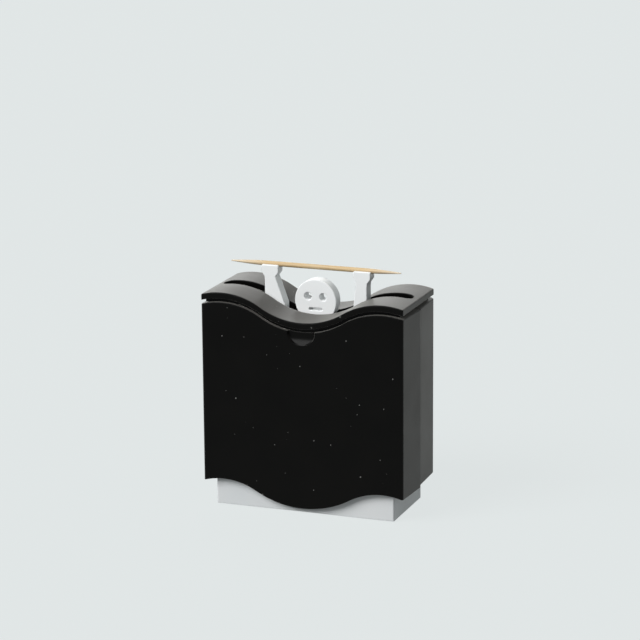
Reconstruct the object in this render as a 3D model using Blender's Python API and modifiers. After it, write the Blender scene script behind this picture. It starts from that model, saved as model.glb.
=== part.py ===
"""Press-down toothpick dispenser, pushed down so that its lifter holds up one toothpick.

A white base stands on the table and carries a flat lifter, cut as a figure with raised arms. A black hood,
with a hopper inside it and a lid on top, slides up and down over the base. Pushing the hood down lets the
lifter rise through the hopper and through the lid's slot, with a toothpick in the grooves of its fists. Two
springs push the hood up again.

The frame is +X to the right, -Y to the front and +Z up, with the origin on the table under the middle of the
base. All lengths are in metres, and the heights of the hood, hopper and lid are those of the pressed state.
"""

import math

import bmesh
import bpy
from mathutils import Matrix, Vector

# Hood: two shells that meet at a seam, drafted so that they are widest there
HOOD_WIDTH = 0.0765
HOOD_DEPTH = 0.035
HOOD_WALL = 0.002
CORNER_RADIUS = 0.001
SEAM_Y = 0.0005
SEAM_GAP = 0.0003
FRONT_SEAM_BULGE = 0.0007
REAR_SEAM_BULGE = 0.0004
REAR_EDGE_RAISE = 0.0005

# Waves: arcs that turn over half way between a valley and a hump
WAVE_REACH = 0.0305
LID_LOW_Z = 0.0712
TOP_WAVE_RISE = 0.0088
TOP_VALLEY_SHARE = 0.515
HOOD_LOW_Z = 0.0023
BOTTOM_WAVE_RISE = 0.0082
BOTTOM_VALLEY_SHARE = 0.588

# Thumb recess in the front shell, under the lid
THUMB_WIDTH = 0.0106
THUMB_HEIGHT = 0.0072
THUMB_DEPTH = 0.0013
THUMB_DROP = 0.0008

# Lid: a wavy plate on a set-back shoulder, with a rim that drops into the hood
LID_THICKNESS = 0.0022
LID_EDGE = 0.0003
SHADOW_GAP = 0.0014
SHADOW_INSET = 0.0014
LID_RIM_DEPTH = 0.0022
LID_RIM_WALL = 0.0012
SLOT_END_MARGIN = 0.002
SLOT_WIDTH = 0.0058
SLOT_UNDERCUT = 0.0001

# Fits
SEAT_GAP = 0.0003
SLIDE_GAP = 0.0004
OVERRUN = 0.001

# Motion of the hood over the base
TRAVEL = 0.028

# Hopper: trough with a sloped floor
HOPPER_DROP = 0.0105
HOPPER_WALL = 0.0016
HOPPER_RISE = 0.004
HOPPER_FLAT = 0.0062
RIM_CLEARANCE = 0.0006
LIFTER_CLEARANCE = 0.00045
LEDGE_PROUD = 0.0012
LEDGE_HEIGHT = 0.002
LEDGE_LENGTH_SHARE = 0.78

# Tongues that line up the two shells
TONGUE_REACH = 0.004
TONGUE_THICKNESS = 0.0012
TONGUE_HEIGHT = 0.0032

# Base box
BASE_SIDE_ROOM = 0.0021
BASE_WALL = 0.0018
BASE_CORNER_RADIUS = 0.0006
BASE_HEADROOM = 0.0046
RAIL_WIDTH = 0.003
RAIL_START_Z = 0.013
RAIL_INSET = 0.0046
STOP_HEIGHT = 0.003
STOP_DROP = 0.001
STOP_WIDTH = 0.011
HOOD_STOP_HEIGHT = 0.004
BOSS_RADIUS = 0.0027
BOSS_INSET = 0.0022
BOSS_HEIGHT = 0.011

# Bottom plate and feet
FOOT_PROUD = 0.0004
PLATE_THICKNESS = 0.0026
PAD_RADIUS = 0.0035
PAD_THICKNESS = 0.001
PAD_END_ROOM = 0.00885
PAD_SIDE_ROOM = 0.0013

# Screws, all alike
SCREW_RADIUS = 0.0011
SCREW_HEAD_RADIUS = 0.0021
SCREW_HEAD_HEIGHT = 0.0011
SCREW_LENGTH = 0.0085
SCREW_TIP = 0.0012
SCREW_SUNK = 0.0001
DRIVE_REACH = 0.0012
DRIVE_WIDTH = 0.0003
DRIVE_DEPTH = 0.0006
FIGURE_SCREW_INSET = 0.0075

# Guides and springs
GUIDE_PIN_RADIUS = 0.002
GUIDE_TUBE_RADIUS = 0.0035
GUIDE_TUBE_HEIGHT = 0.042
PIN_BOSS_RADIUS = 0.0054
PIN_BOSS_HEIGHT = 0.0019
PIN_SOCKET_DEPTH = 0.002
SPRING_WIRE = 0.0009
SPRING_RADIUS = 0.00435
SPRING_WALL_GAP = 0.00055
LIFTER_SPRING_GAP = 0.0014
SPRING_TURNS = 15
SPRING_POINTS_PER_TURN = 10
SPRING_END_PITCH = 0.0015

# Lifter
FIGURE_THICKNESS = 0.0046
FIGURE_EDGE = 0.0002
FIST_PROUD = 0.0013
FIST_WIDTH = 0.0065
FIST_HEIGHT = 0.0042
FIST_TAPER = 0.0016
FIST_ROUND = 0.0004
WRIST_WIDTH = 0.0042
ARM_INSET = 0.0013
LEFT_ARM_FLARE_SHARE = 0.477
RIGHT_ARM_FLARE_SHARE = 0.159
ARM_LENGTH = 0.0098
HEAD_RADIUS = 0.0079
HEAD_DROP = 0.012
NECK_WIDTH = 0.0064
NECK_LENGTH = 0.0012
FOOT_DEPTH = 0.009
FOOT_HEIGHT = 0.004
FOOT_INSET = 0.0005
EYE_RADIUS = 0.0014
EYE_SPREAD = 0.0058
EYE_RAISE = 0.0016
MOUTH_WIDTH = 0.0052
MOUTH_HEIGHT = 0.001
MOUTH_DROP = 0.003

# Toothpick
TOOTHPICK_LENGTH = 0.065
TOOTHPICK_RADIUS = 0.0009
TOOTHPICK_TAPER = 0.014
TOOTHPICK_POINT_RADIUS = 0.0002
TOOTHPICK_SHIFT = -0.0008
TOOTHPICK_PROUD = 0.0001

# Facets
WAVE_STEPS = 48
CORNER_STEPS = 4
ROUND_SIDES = 24
SMALL_SIDES = 16
HEAD_STEPS = 40
SMOOTH_ANGLE = math.radians(30)
MERGE = 0.000001

# Heights that follow from the sizes above
lid_under_low = LID_LOW_Z - LID_THICKNESS
hood_top_drop = LID_THICKNESS + SHADOW_GAP
hood_top_low = LID_LOW_Z - hood_top_drop
hopper_floor = lid_under_low - HOPPER_DROP
hopper_under = hopper_floor - HOPPER_WALL
hopper_rim = hood_top_low - LID_RIM_DEPTH - RIM_CLEARANCE
ledge_top = hopper_under - SEAT_GAP
ledge_bottom = ledge_top - LEDGE_HEIGHT
base_top = ledge_bottom - BASE_HEADROOM
plate_top = FOOT_PROUD + PLATE_THICKNESS
pin_boss_bottom = hopper_under - PIN_BOSS_HEIGHT
fist_top = hopper_floor + TRAVEL + FIST_PROUD
head_centre = fist_top - HEAD_DROP
toothpick_z = fist_top + TOOTHPICK_PROUD
base_stop_top = base_top - STOP_DROP
base_stop_bottom = base_stop_top - STOP_HEIGHT
screw_bottom = FOOT_PROUD + SCREW_SUNK
screw_hole_top = screw_bottom + SCREW_LENGTH + SEAT_GAP

# Half widths and depths that follow
hood_half = HOOD_WIDTH / 2
hood_half_depth = HOOD_DEPTH / 2
hood_inner_half = hood_half - HOOD_WALL
hood_inner_half_depth = hood_half_depth - HOOD_WALL
base_half = hood_inner_half - BASE_SIDE_ROOM
base_half_depth = hood_inner_half_depth - SLIDE_GAP
base_inner_half = base_half - BASE_WALL
base_inner_half_depth = base_half_depth - BASE_WALL
guide_x = base_inner_half - SPRING_WALL_GAP - SPRING_RADIUS - SPRING_WIRE / 2
boss_x = base_inner_half - BOSS_INSET
boss_y = base_inner_half_depth - BOSS_INSET
rail_y = base_half_depth - RAIL_INSET
pad_x = base_inner_half - PAD_RADIUS - PAD_END_ROOM
pad_y = base_inner_half_depth - PAD_RADIUS - PAD_SIDE_ROOM
slot_length = HOOD_WIDTH - 2 * SLOT_END_MARGIN
figure_half = guide_x - SPRING_RADIUS - SPRING_WIRE / 2 - LIFTER_SPRING_GAP
fist_centre_x = figure_half - FIST_WIDTH / 2
arm_outer_x = figure_half - ARM_INSET
figure_screw_x = arm_outer_x - FIGURE_SCREW_INSET
arm_room = fist_centre_x - WRIST_WIDTH / 2 - HEAD_RADIUS

BLACK = {"color": (0.012, 0.012, 0.011, 1.0), "roughness": 0.38, "metallic": 0.0}
WHITE = {"color": (0.78, 0.79, 0.79, 1.0), "roughness": 0.35, "metallic": 0.0}
STEEL = {"color": (0.55, 0.55, 0.56, 1.0), "roughness": 0.3, "metallic": 1.0}
RUBBER = {"color": (0.04, 0.04, 0.04, 1.0), "roughness": 0.85, "metallic": 0.0}
WOOD = {"color": (0.72, 0.53, 0.3, 1.0), "roughness": 0.65, "metallic": 0.0}

FACING_FRONT = Matrix.Rotation(math.radians(90), 4, "X")
FACING_SIDE = Matrix.Rotation(math.radians(90), 4, "Z") @ FACING_FRONT


def clear_scene():
    """Empty the scene that the script was started in."""
    for old in list(bpy.data.objects):
        bpy.data.objects.remove(old, do_unlink=True)


def add_collection(name):
    group = bpy.data.collections.new(name)
    bpy.context.scene.collection.children.link(group)
    return group


clear_scene()
parts = add_collection("toothpick_dispenser")
tools = add_collection("dispenser_cutters")


def object_from(name, mesh, group=None):
    body = bpy.data.objects.new(name, mesh)
    (group or parts).objects.link(body)
    return body


def object_from_bmesh(name, shape):
    mesh = bpy.data.meshes.new(name)
    shape.to_mesh(mesh)
    shape.free()
    return object_from(name, mesh)


def block(name, corner, opposite):
    """Box between two opposite corners, given in either order."""
    shape = bmesh.new()
    bmesh.ops.create_cube(shape, size=1.0)
    size = [abs(b - a) for a, b in zip(corner, opposite)]
    bmesh.ops.scale(shape, vec=size, verts=shape.verts)
    bmesh.ops.translate(shape, vec=(Vector(corner) + Vector(opposite)) / 2, verts=shape.verts)
    return object_from_bmesh(name, shape)


def rod(name, radius, bottom, top, place=(0, 0), sides=ROUND_SIDES):
    """Upright cylinder at a place in plan."""
    shape = bmesh.new()
    bmesh.ops.create_cone(
        shape, cap_ends=True, segments=sides, radius1=radius, radius2=radius, depth=top - bottom
    )
    bmesh.ops.translate(shape, vec=(place[0], place[1], (bottom + top) / 2), verts=shape.verts)
    return object_from_bmesh(name, shape)


def slab(name, outlines, thickness, turn=None, place=(0, 0, 0)):
    """Flat outline, with any further outlines as holes, as thick as asked about its own plane."""
    curve = bpy.data.curves.new(name, "CURVE")
    curve.dimensions = "2D"
    curve.fill_mode = "BOTH"
    curve.extrude = thickness / 2
    for outline in outlines:
        spline = curve.splines.new("POLY")
        spline.points.add(len(outline) - 1)
        for point, (across, along) in zip(spline.points, outline):
            point.co = (across, along, 0, 1)
        spline.use_cyclic_u = True
    drawn = object_from(name + "_outline", curve, tools)
    bpy.context.view_layer.update()
    graph = bpy.context.evaluated_depsgraph_get()
    mesh = bpy.data.meshes.new_from_object(drawn.evaluated_get(graph))
    bpy.data.objects.remove(drawn)
    shape = bmesh.new()
    shape.from_mesh(mesh)
    bpy.data.meshes.remove(mesh)
    bmesh.ops.remove_doubles(shape, verts=shape.verts, dist=MERGE)
    if turn is not None:
        bmesh.ops.transform(shape, matrix=turn, verts=shape.verts)
    bmesh.ops.translate(shape, vec=place, verts=shape.verts)
    bmesh.ops.recalc_face_normals(shape, faces=shape.faces)
    return object_from_bmesh(name, shape)


def turned(name, profile, sides):
    """Profile of (radius, height) points, from the top down, turned about the upright axis."""
    mesh = bpy.data.meshes.new(name)
    points = [(radius, 0, height) for radius, height in profile]
    mesh.from_pydata(points, [(i, i + 1) for i in range(len(points) - 1)], [])
    body = object_from(name, mesh)
    screw = body.modifiers.new("turn", "SCREW")
    screw.steps = sides
    screw.render_steps = sides
    screw.use_merge_vertices = True
    screw.merge_threshold = MERGE
    return body


def shaped(body, operation, tool):
    """Cut a tool from a body, join it on or keep what both share. The tool becomes a hidden guide."""
    for group in list(tool.users_collection):
        group.objects.unlink(tool)
    tools.objects.link(tool)
    tool.hide_render = True
    tool.display_type = "WIRE"
    step = body.modifiers.new(tool.name, "BOOLEAN")
    step.operation = operation
    step.solver = "EXACT"
    step.object = tool
    return body


def cut(body, tool):
    return shaped(body, "DIFFERENCE", tool)


def join(body, tool):
    return shaped(body, "UNION", tool)


def trim(body, tool):
    return shaped(body, "INTERSECT", tool)


def eased(body, width):
    """Small chamfer along the sharp edges."""
    ease = body.modifiers.new("ease", "BEVEL")
    ease.width = width
    ease.segments = 1
    ease.limit_method = "ANGLE"
    ease.angle_limit = math.radians(50)
    return body


def finish(body, look):
    """Give a part its own material, and smooth shading over its gentle curves."""
    material = bpy.data.materials.new(body.name + "_finish")
    material.use_nodes = True
    surface = material.node_tree.nodes["Principled BSDF"]
    surface.inputs["Base Color"].default_value = look["color"]
    surface.inputs["Roughness"].default_value = look["roughness"]
    surface.inputs["Metallic"].default_value = look["metallic"]
    material.diffuse_color = look["color"]
    body.data.materials.clear()
    body.data.materials.append(material)
    if body.type == "MESH":
        body.data.shade_smooth()
        body.data.set_sharp_from_angle(angle=SMOOTH_ANGLE)
    return body


def carrier(name, place):
    """Empty on a joint's axis, which carries the pieces that move with it."""
    empty = bpy.data.objects.new(name, None)
    empty.location = place
    empty.empty_display_size = HOOD_WALL
    parts.objects.link(empty)
    bpy.context.view_layer.update()
    return empty


def carried(body, empty):
    body.parent = empty
    body.matrix_parent_inverse = empty.matrix_world.inverted()
    return body


def arc(across, along, radius, start, end, steps):
    """Points on an arc, with its angles in degrees."""
    angles = [math.radians(start + (end - start) * step / steps) for step in range(steps + 1)]
    return [(across + radius * math.cos(angle), along + radius * math.sin(angle)) for angle in angles]


def rounded_rectangle(half_width, half_depth, radius):
    """Rectangle about the origin with round corners, or sharp ones where the radius is zero."""
    if radius <= 0:
        corners = [(1, -1), (1, 1), (-1, 1), (-1, -1)]
        return [(half_width * x, half_depth * y) for x, y in corners]
    x = half_width - radius
    y = half_depth - radius
    return (
        arc(x, -y, radius, -90, 0, CORNER_STEPS)
        + arc(x, y, radius, 0, 90, CORNER_STEPS)
        + arc(-x, y, radius, 90, 180, CORNER_STEPS)
        + arc(-x, -y, radius, 180, 270, CORNER_STEPS)
    )


def stadium(length, width):
    """Long slot outline with round ends."""
    reach = (length - width) / 2
    ends = arc(reach, 0, width / 2, -90, 90, SMALL_SIDES // 2)
    return ends + arc(-reach, 0, width / 2, 90, 270, SMALL_SIDES // 2)


def wave_height(x, low, rise, valley_share):
    """Height of a wave at x: a valley arc about x = 0 that meets a hump arc on either side, in line."""
    both_radii = (WAVE_REACH**2 + rise**2) / (2 * rise)
    valley = both_radii * valley_share
    hump = both_radii - valley
    if abs(x) < WAVE_REACH * valley_share:
        return low + valley - math.sqrt(valley**2 - x**2)
    return low + rise - hump + math.sqrt(hump**2 - (abs(x) - WAVE_REACH) ** 2)


def top_wave(x):
    return wave_height(x, LID_LOW_Z, TOP_WAVE_RISE, TOP_VALLEY_SHARE)


def bottom_wave(x):
    return wave_height(x, HOOD_LOW_Z, BOTTOM_WAVE_RISE, BOTTOM_VALLEY_SHARE)


def band(name, half_width, depth, upper, lower):
    """Solid between two waves, which runs from front to back."""
    places = [half_width * (2 * step / WAVE_STEPS - 1) for step in range(WAVE_STEPS + 1)]
    outline = [(x, lower(x)) for x in places] + [(x, upper(x)) for x in reversed(places)]
    return slab(name, [outline], depth, FACING_FRONT)


def shell_outline(side, bulge):
    """Plan of one half of the hood: a U open to the seam. Side is -1 for the front and 1 for the rear."""
    seam = side * SEAM_Y + SEAM_GAP / 2
    corner = arc(
        hood_half - CORNER_RADIUS, hood_half_depth - CORNER_RADIUS, CORNER_RADIUS, 0, 90, CORNER_STEPS
    )
    outer = [(hood_half + bulge, seam)] + corner
    inner = [(hood_inner_half, hood_inner_half_depth), (hood_half + bulge - HOOD_WALL, seam)]
    outline = outer + mirrored(outer) + mirrored(inner) + inner
    return [(x, side * y) for x, y in outline]


def mirrored(points):
    """The same points on the other side of the middle, in reverse order."""
    return [(-x, y) for x, y in reversed(points)]


def hood_top_wave(x):
    return top_wave(x) - hood_top_drop


def lid_under_wave(x):
    return top_wave(x) - LID_THICKNESS


def hood_shell(name, side, bulge, edge_raise):
    """Half of the hood, with the ledge that carries the hopper and the stops that keep it on the base."""
    height = LID_LOW_Z + TOP_WAVE_RISE
    shell = slab(name, [shell_outline(side, bulge)], height, place=(0, 0, height / 2))
    reach = hood_half + bulge + OVERRUN
    waves = band(
        name + "_waves", reach, HOOD_DEPTH + OVERRUN, hood_top_wave, lambda x: bottom_wave(x) + edge_raise
    )
    trim(shell, waves)

    ledge_half = hood_half * LEDGE_LENGTH_SHARE
    ledge = block(
        name + "_ledge",
        (-ledge_half, side * (hood_inner_half_depth - LEDGE_PROUD), ledge_bottom),
        (ledge_half, side * (hood_half_depth - HOOD_WALL / 2), ledge_top),
    )
    join(shell, ledge)

    stop_top = base_stop_bottom - SEAT_GAP - TRAVEL
    for hand in (-1, 1):
        stop = block(
            name + "_stop",
            (hand * (base_half + SLIDE_GAP), side * STOP_WIDTH / 2, stop_top - HOOD_STOP_HEIGHT),
            (hand * hood_half, SEAM_Y + side * SEAM_GAP, stop_top),
        )
        join(shell, stop)
    return finish(shell, BLACK)


def add_tongues(shell):
    """Tongues on the front shell that lie inside the rear shell and line up the seam."""
    wall = hood_half + REAR_SEAM_BULGE - HOOD_WALL - SEAT_GAP
    bottom = base_top + RIM_CLEARANCE
    for hand in (-1, 1):
        root = block(
            "tongue_root",
            (hand * (wall - TONGUE_THICKNESS), SEAM_Y - TONGUE_REACH, bottom),
            (hand * hood_half, SEAM_Y - SEAM_GAP, bottom + TONGUE_HEIGHT),
        )
        join(shell, root)
        tongue = block(
            "tongue",
            (hand * (wall - TONGUE_THICKNESS), SEAM_Y - TONGUE_REACH / 2, bottom),
            (hand * wall, SEAM_Y + TONGUE_REACH, bottom + TONGUE_HEIGHT),
        )
        join(shell, tongue)


def add_thumb_recess(shell):
    """Shallow rounded scoop under the lid, for a fingernail."""
    scoop = bmesh.new()
    bmesh.ops.create_uvsphere(scoop, u_segments=ROUND_SIDES, v_segments=SMALL_SIDES, radius=1.0)
    bmesh.ops.scale(scoop, vec=(THUMB_WIDTH / 2, THUMB_DEPTH, THUMB_HEIGHT / 2), verts=scoop.verts)
    place = (0, -hood_half_depth, hood_top_low - THUMB_DROP)
    bmesh.ops.translate(scoop, vec=place, verts=scoop.verts)
    cut(shell, object_from_bmesh("thumb_scoop", scoop))


def ring(name, half_width, half_depth, wall, upper, lower):
    """Upright rectangular wall between two waves."""
    outer = rounded_rectangle(half_width, half_depth, 0)
    inner = rounded_rectangle(half_width - wall, half_depth - wall, 0)
    height = LID_LOW_Z + TOP_WAVE_RISE
    body = slab(name, [outer, inner], height, place=(0, 0, height / 2))
    return trim(body, band(name + "_waves", half_width + OVERRUN, HOOD_DEPTH, upper, lower))


def make_lid():
    """Wavy slotted plate, with a set-back shoulder that sits on the hood and a rim that drops into it."""
    lid = eased(band("lid", hood_half, HOOD_DEPTH, top_wave, lid_under_wave), LID_EDGE)
    rim_half = hood_inner_half - SEAT_GAP
    rim_half_depth = hood_inner_half_depth - SEAT_GAP

    def inside_plate(x):
        return top_wave(x) - LID_THICKNESS / 2

    shoulder_wall = hood_half - SHADOW_INSET - rim_half + LID_RIM_WALL
    shoulder = ring(
        "lid_shoulder",
        hood_half - SHADOW_INSET,
        hood_half_depth - SHADOW_INSET,
        shoulder_wall,
        inside_plate,
        lambda x: hood_top_wave(x) + SEAT_GAP,
    )
    join(lid, shoulder)
    rim = ring(
        "lid_rim",
        rim_half,
        rim_half_depth,
        LID_RIM_WALL,
        lambda x: lid_under_wave(x) - SHADOW_GAP / 2,
        lambda x: hood_top_wave(x) - LID_RIM_DEPTH,
    )
    join(lid, rim)

    slot_height = LID_THICKNESS + TOP_WAVE_RISE + OVERRUN
    slot = slab(
        "lid_slot",
        [stadium(slot_length, SLOT_WIDTH)],
        2 * slot_height,
        place=(0, 0, LID_LOW_Z),
    )
    trim(
        slot,
        band(
            "lid_slot_waves",
            hood_half,
            HOOD_DEPTH,
            lambda x: top_wave(x) + OVERRUN,
            lambda x: lid_under_wave(x) - SLOT_UNDERCUT,
        ),
    )
    cut(lid, slot)
    return finish(lid, BLACK)


def make_hopper():
    """Trough whose floor slopes to a flat middle, with a slot for the lifter and a boss for each guide pin."""
    half = hood_inner_half - SEAT_GAP
    half_depth = hood_inner_half_depth - SEAT_GAP
    inner = half_depth - HOPPER_WALL
    flat = HOPPER_FLAT / 2
    hopper = block("hopper", (-half, -half_depth, hopper_under), (half, half_depth, hopper_rim))

    slope = [(inner, hopper_rim + OVERRUN), (inner, hopper_floor + HOPPER_RISE), (flat, hopper_floor)]
    trough = slab("hopper_trough", [slope + mirrored(slope)], 2 * (half - HOPPER_WALL), FACING_SIDE)
    cut(hopper, trough)
    for side in (-1, 1):
        under = [
            (flat, hopper_under - OVERRUN),
            (flat, hopper_under),
            (inner, hopper_under + HOPPER_RISE),
            (inner, hopper_under - OVERRUN),
        ]
        under = [(side * y, z) for y, z in under]
        cut(hopper, slab("hopper_underside", [under], 2 * (half - HOPPER_WALL), FACING_SIDE))
    for hand in (-1, 1):
        place = (hand * guide_x, 0)
        boss_top = hopper_under + HOPPER_WALL / 2
        join(hopper, rod("pin_boss", PIN_BOSS_RADIUS, pin_boss_bottom, boss_top, place))
        socket_top = pin_boss_bottom + PIN_SOCKET_DEPTH
        socket_radius = GUIDE_PIN_RADIUS + SEAT_GAP
        cut(hopper, rod("pin_socket", socket_radius, pin_boss_bottom - OVERRUN, socket_top, place))
    slot_half = figure_half + LIFTER_CLEARANCE
    slot_half_depth = FIGURE_THICKNESS / 2 + LIFTER_CLEARANCE
    slot = block(
        "lifter_slot",
        (-slot_half, -slot_half_depth, hopper_under - OVERRUN),
        (slot_half, slot_half_depth, hopper_floor + OVERRUN),
    )
    cut(hopper, slot)
    return finish(hopper, BLACK)


def make_base_box():
    """Open-ended white box with guide rails, hood stops and a screw boss in each corner."""
    outer = rounded_rectangle(base_half, base_half_depth, BASE_CORNER_RADIUS)
    inner = rounded_rectangle(base_inner_half, base_inner_half_depth, 0)
    box = slab("base_box", [outer, inner], base_top - FOOT_PROUD, place=(0, 0, (base_top + FOOT_PROUD) / 2))
    wall_middle = base_half - BASE_WALL / 2
    rail_reach = hood_inner_half - SLIDE_GAP
    for hand in (-1, 1):
        for side in (-1, 1):
            rail = block(
                "rail",
                (hand * wall_middle, side * (rail_y - RAIL_WIDTH / 2), RAIL_START_Z),
                (hand * rail_reach, side * (rail_y + RAIL_WIDTH / 2), base_stop_top),
            )
            join(box, rail)
            place = (hand * boss_x, side * boss_y)
            bottom = plate_top + SEAT_GAP
            join(box, rod("screw_boss", BOSS_RADIUS, bottom, bottom + BOSS_HEIGHT, place, SMALL_SIDES))
            hole_radius = SCREW_RADIUS + SEAT_GAP
            cut(box, rod("screw_hole", hole_radius, bottom - OVERRUN, screw_hole_top, place, SMALL_SIDES))
        stop = block(
            "hood_stop",
            (hand * wall_middle, SEAM_Y - STOP_WIDTH / 2, base_stop_bottom),
            (hand * rail_reach, SEAM_Y + STOP_WIDTH / 2, base_stop_top),
        )
        join(box, stop)
    return finish(box, WHITE)


def screw_places():
    """Names and places of the screws under the bottom plate."""
    corners = [(hand, side) for hand in (-1, 1) for side in (-1, 1)]
    base = [("base_screw_%d" % (i + 1), (x * boss_x, y * boss_y)) for i, (x, y) in enumerate(corners)]
    words = ((-1, "left"), (1, "right"))
    return base + [("figure_screw_" + word, (hand * figure_screw_x, 0)) for hand, word in words]


def pad_places():
    names = {(-1, -1): "front_left", (1, -1): "front_right", (-1, 1): "rear_left", (1, 1): "rear_right"}
    return [("foot_pad_" + name, (x * pad_x, y * pad_y)) for (x, y), name in names.items()]


def make_bottom_plate():
    """Plate that closes the base from below, with a guide tube at each end."""
    outline = rounded_rectangle(base_inner_half - SEAT_GAP, base_inner_half_depth - SEAT_GAP, 0)
    plate = slab("bottom_plate", [outline], PLATE_THICKNESS, place=(0, 0, (plate_top + FOOT_PROUD) / 2))
    for hand in (-1, 1):
        place = (hand * guide_x, 0)
        tube_top = plate_top + GUIDE_TUBE_HEIGHT
        root = plate_top - PLATE_THICKNESS / 2
        join(plate, rod("guide_tube", GUIDE_TUBE_RADIUS, root, tube_top, place))
        bore = GUIDE_PIN_RADIUS + SEAT_GAP
        cut(plate, rod("guide_bore", bore, plate_top, tube_top + OVERRUN, place))
    for name, place in screw_places():
        head_room = SCREW_HEAD_RADIUS + SEAT_GAP
        head_top = screw_bottom + SCREW_HEAD_HEIGHT + SEAT_GAP
        cut(plate, rod(name + "_sink", head_room, -OVERRUN, head_top, place, SMALL_SIDES))
        shaft_room = SCREW_RADIUS + SEAT_GAP
        cut(plate, rod(name + "_hole", shaft_room, 0, plate_top + OVERRUN, place, SMALL_SIDES))
    for name, place in pad_places():
        recess_top = PAD_THICKNESS + SEAT_GAP
        cut(plate, rod(name + "_recess", PAD_RADIUS + SEAT_GAP, -OVERRUN, recess_top, place, SMALL_SIDES))
    return finish(plate, WHITE)


def make_screw(name, place):
    """Pan-head screw that points up, with a cross recess in its head."""
    profile = [
        (0, SCREW_LENGTH),
        (SCREW_RADIUS, SCREW_LENGTH - SCREW_TIP),
        (SCREW_RADIUS, SCREW_HEAD_HEIGHT),
        (SCREW_HEAD_RADIUS, SCREW_HEAD_HEIGHT),
        (SCREW_HEAD_RADIUS, 0),
        (0, 0),
    ]
    screw = turned(name, profile, SMALL_SIDES)
    for across, along in ((DRIVE_REACH, DRIVE_WIDTH), (DRIVE_WIDTH, DRIVE_REACH)):
        slit = block(name + "_drive", (-across, -along, -OVERRUN), (across, along, DRIVE_DEPTH))
        slit.location = (place[0], place[1], screw_bottom)
        cut(screw, slit)
    screw.location = (place[0], place[1], screw_bottom)
    return finish(screw, STEEL)


def make_spring(name, hand):
    """Compression spring whose end turns lie close, as one unbroken wire."""
    bottom = plate_top + SEAT_GAP + SPRING_WIRE / 2
    height = pin_boss_bottom - SEAT_GAP - SPRING_WIRE / 2 - bottom
    last = SPRING_TURNS - 1
    pitch = (height - 2 * SPRING_END_PITCH) / (SPRING_TURNS - 2)

    def rise(turn):
        closed = min(turn, 1) + max(turn - last, 0)
        return closed * SPRING_END_PITCH + min(max(turn - 1, 0), last - 1) * pitch

    curve = bpy.data.curves.new(name, "CURVE")
    curve.dimensions = "3D"
    curve.bevel_depth = SPRING_WIRE / 2
    curve.bevel_resolution = 1
    curve.use_fill_caps = True
    curve.render_resolution_u = 0
    spline = curve.splines.new("POLY")
    count = SPRING_TURNS * SPRING_POINTS_PER_TURN + 1
    turns = [index / SPRING_POINTS_PER_TURN for index in range(count)]
    spline.points.add(count - 1)
    for point, turn in zip(spline.points, turns):
        angle = turn * math.tau
        point.co = (SPRING_RADIUS * math.cos(angle), SPRING_RADIUS * math.sin(angle), rise(turn), 1)
    spring = object_from(name, curve)
    spring.location = (hand * guide_x, 0, bottom)
    gaps = [rise(turn + 1) - rise(turn) - SPRING_WIRE for turn in turns if turn + 1 <= SPRING_TURNS]
    print("%s: least gap between its turns %.2f mm" % (name, min(gaps) * 1000))
    return finish(spring, STEEL)


def make_guide_pin(name, hand):
    top = pin_boss_bottom + PIN_SOCKET_DEPTH - SEAT_GAP
    pin = rod(name, GUIDE_PIN_RADIUS, plate_top + SEAT_GAP, top, (hand * guide_x, 0))
    return finish(eased(pin, LID_EDGE), STEEL)


def arm_outline(flare_share):
    """One raised arm, from the foot up its outer edge, round the fist and down its inner edge."""
    wrist = fist_top - FIST_HEIGHT
    knuckle = wrist + FIST_TAPER
    inner = figure_half - FIST_WIDTH
    elbow_x = HEAD_RADIUS + arm_room * (1 - flare_share)
    valley = head_centre - HEAD_RADIUS - NECK_LENGTH
    rounding = FIST_ROUND
    return (
        [(arm_outer_x, plate_top + SEAT_GAP), (arm_outer_x, wrist - FIST_TAPER)]
        + [(fist_centre_x + WRIST_WIDTH / 2, wrist), (figure_half, knuckle)]
        + arc(figure_half - rounding, fist_top - rounding, rounding, 0, 90, CORNER_STEPS)
        + arc(inner + rounding, fist_top - rounding, rounding, 90, 180, CORNER_STEPS)
        + [(inner, knuckle), (fist_centre_x - WRIST_WIDTH / 2, wrist)]
        + [(elbow_x, wrist - ARM_LENGTH), (elbow_x, valley)]
    )


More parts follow.
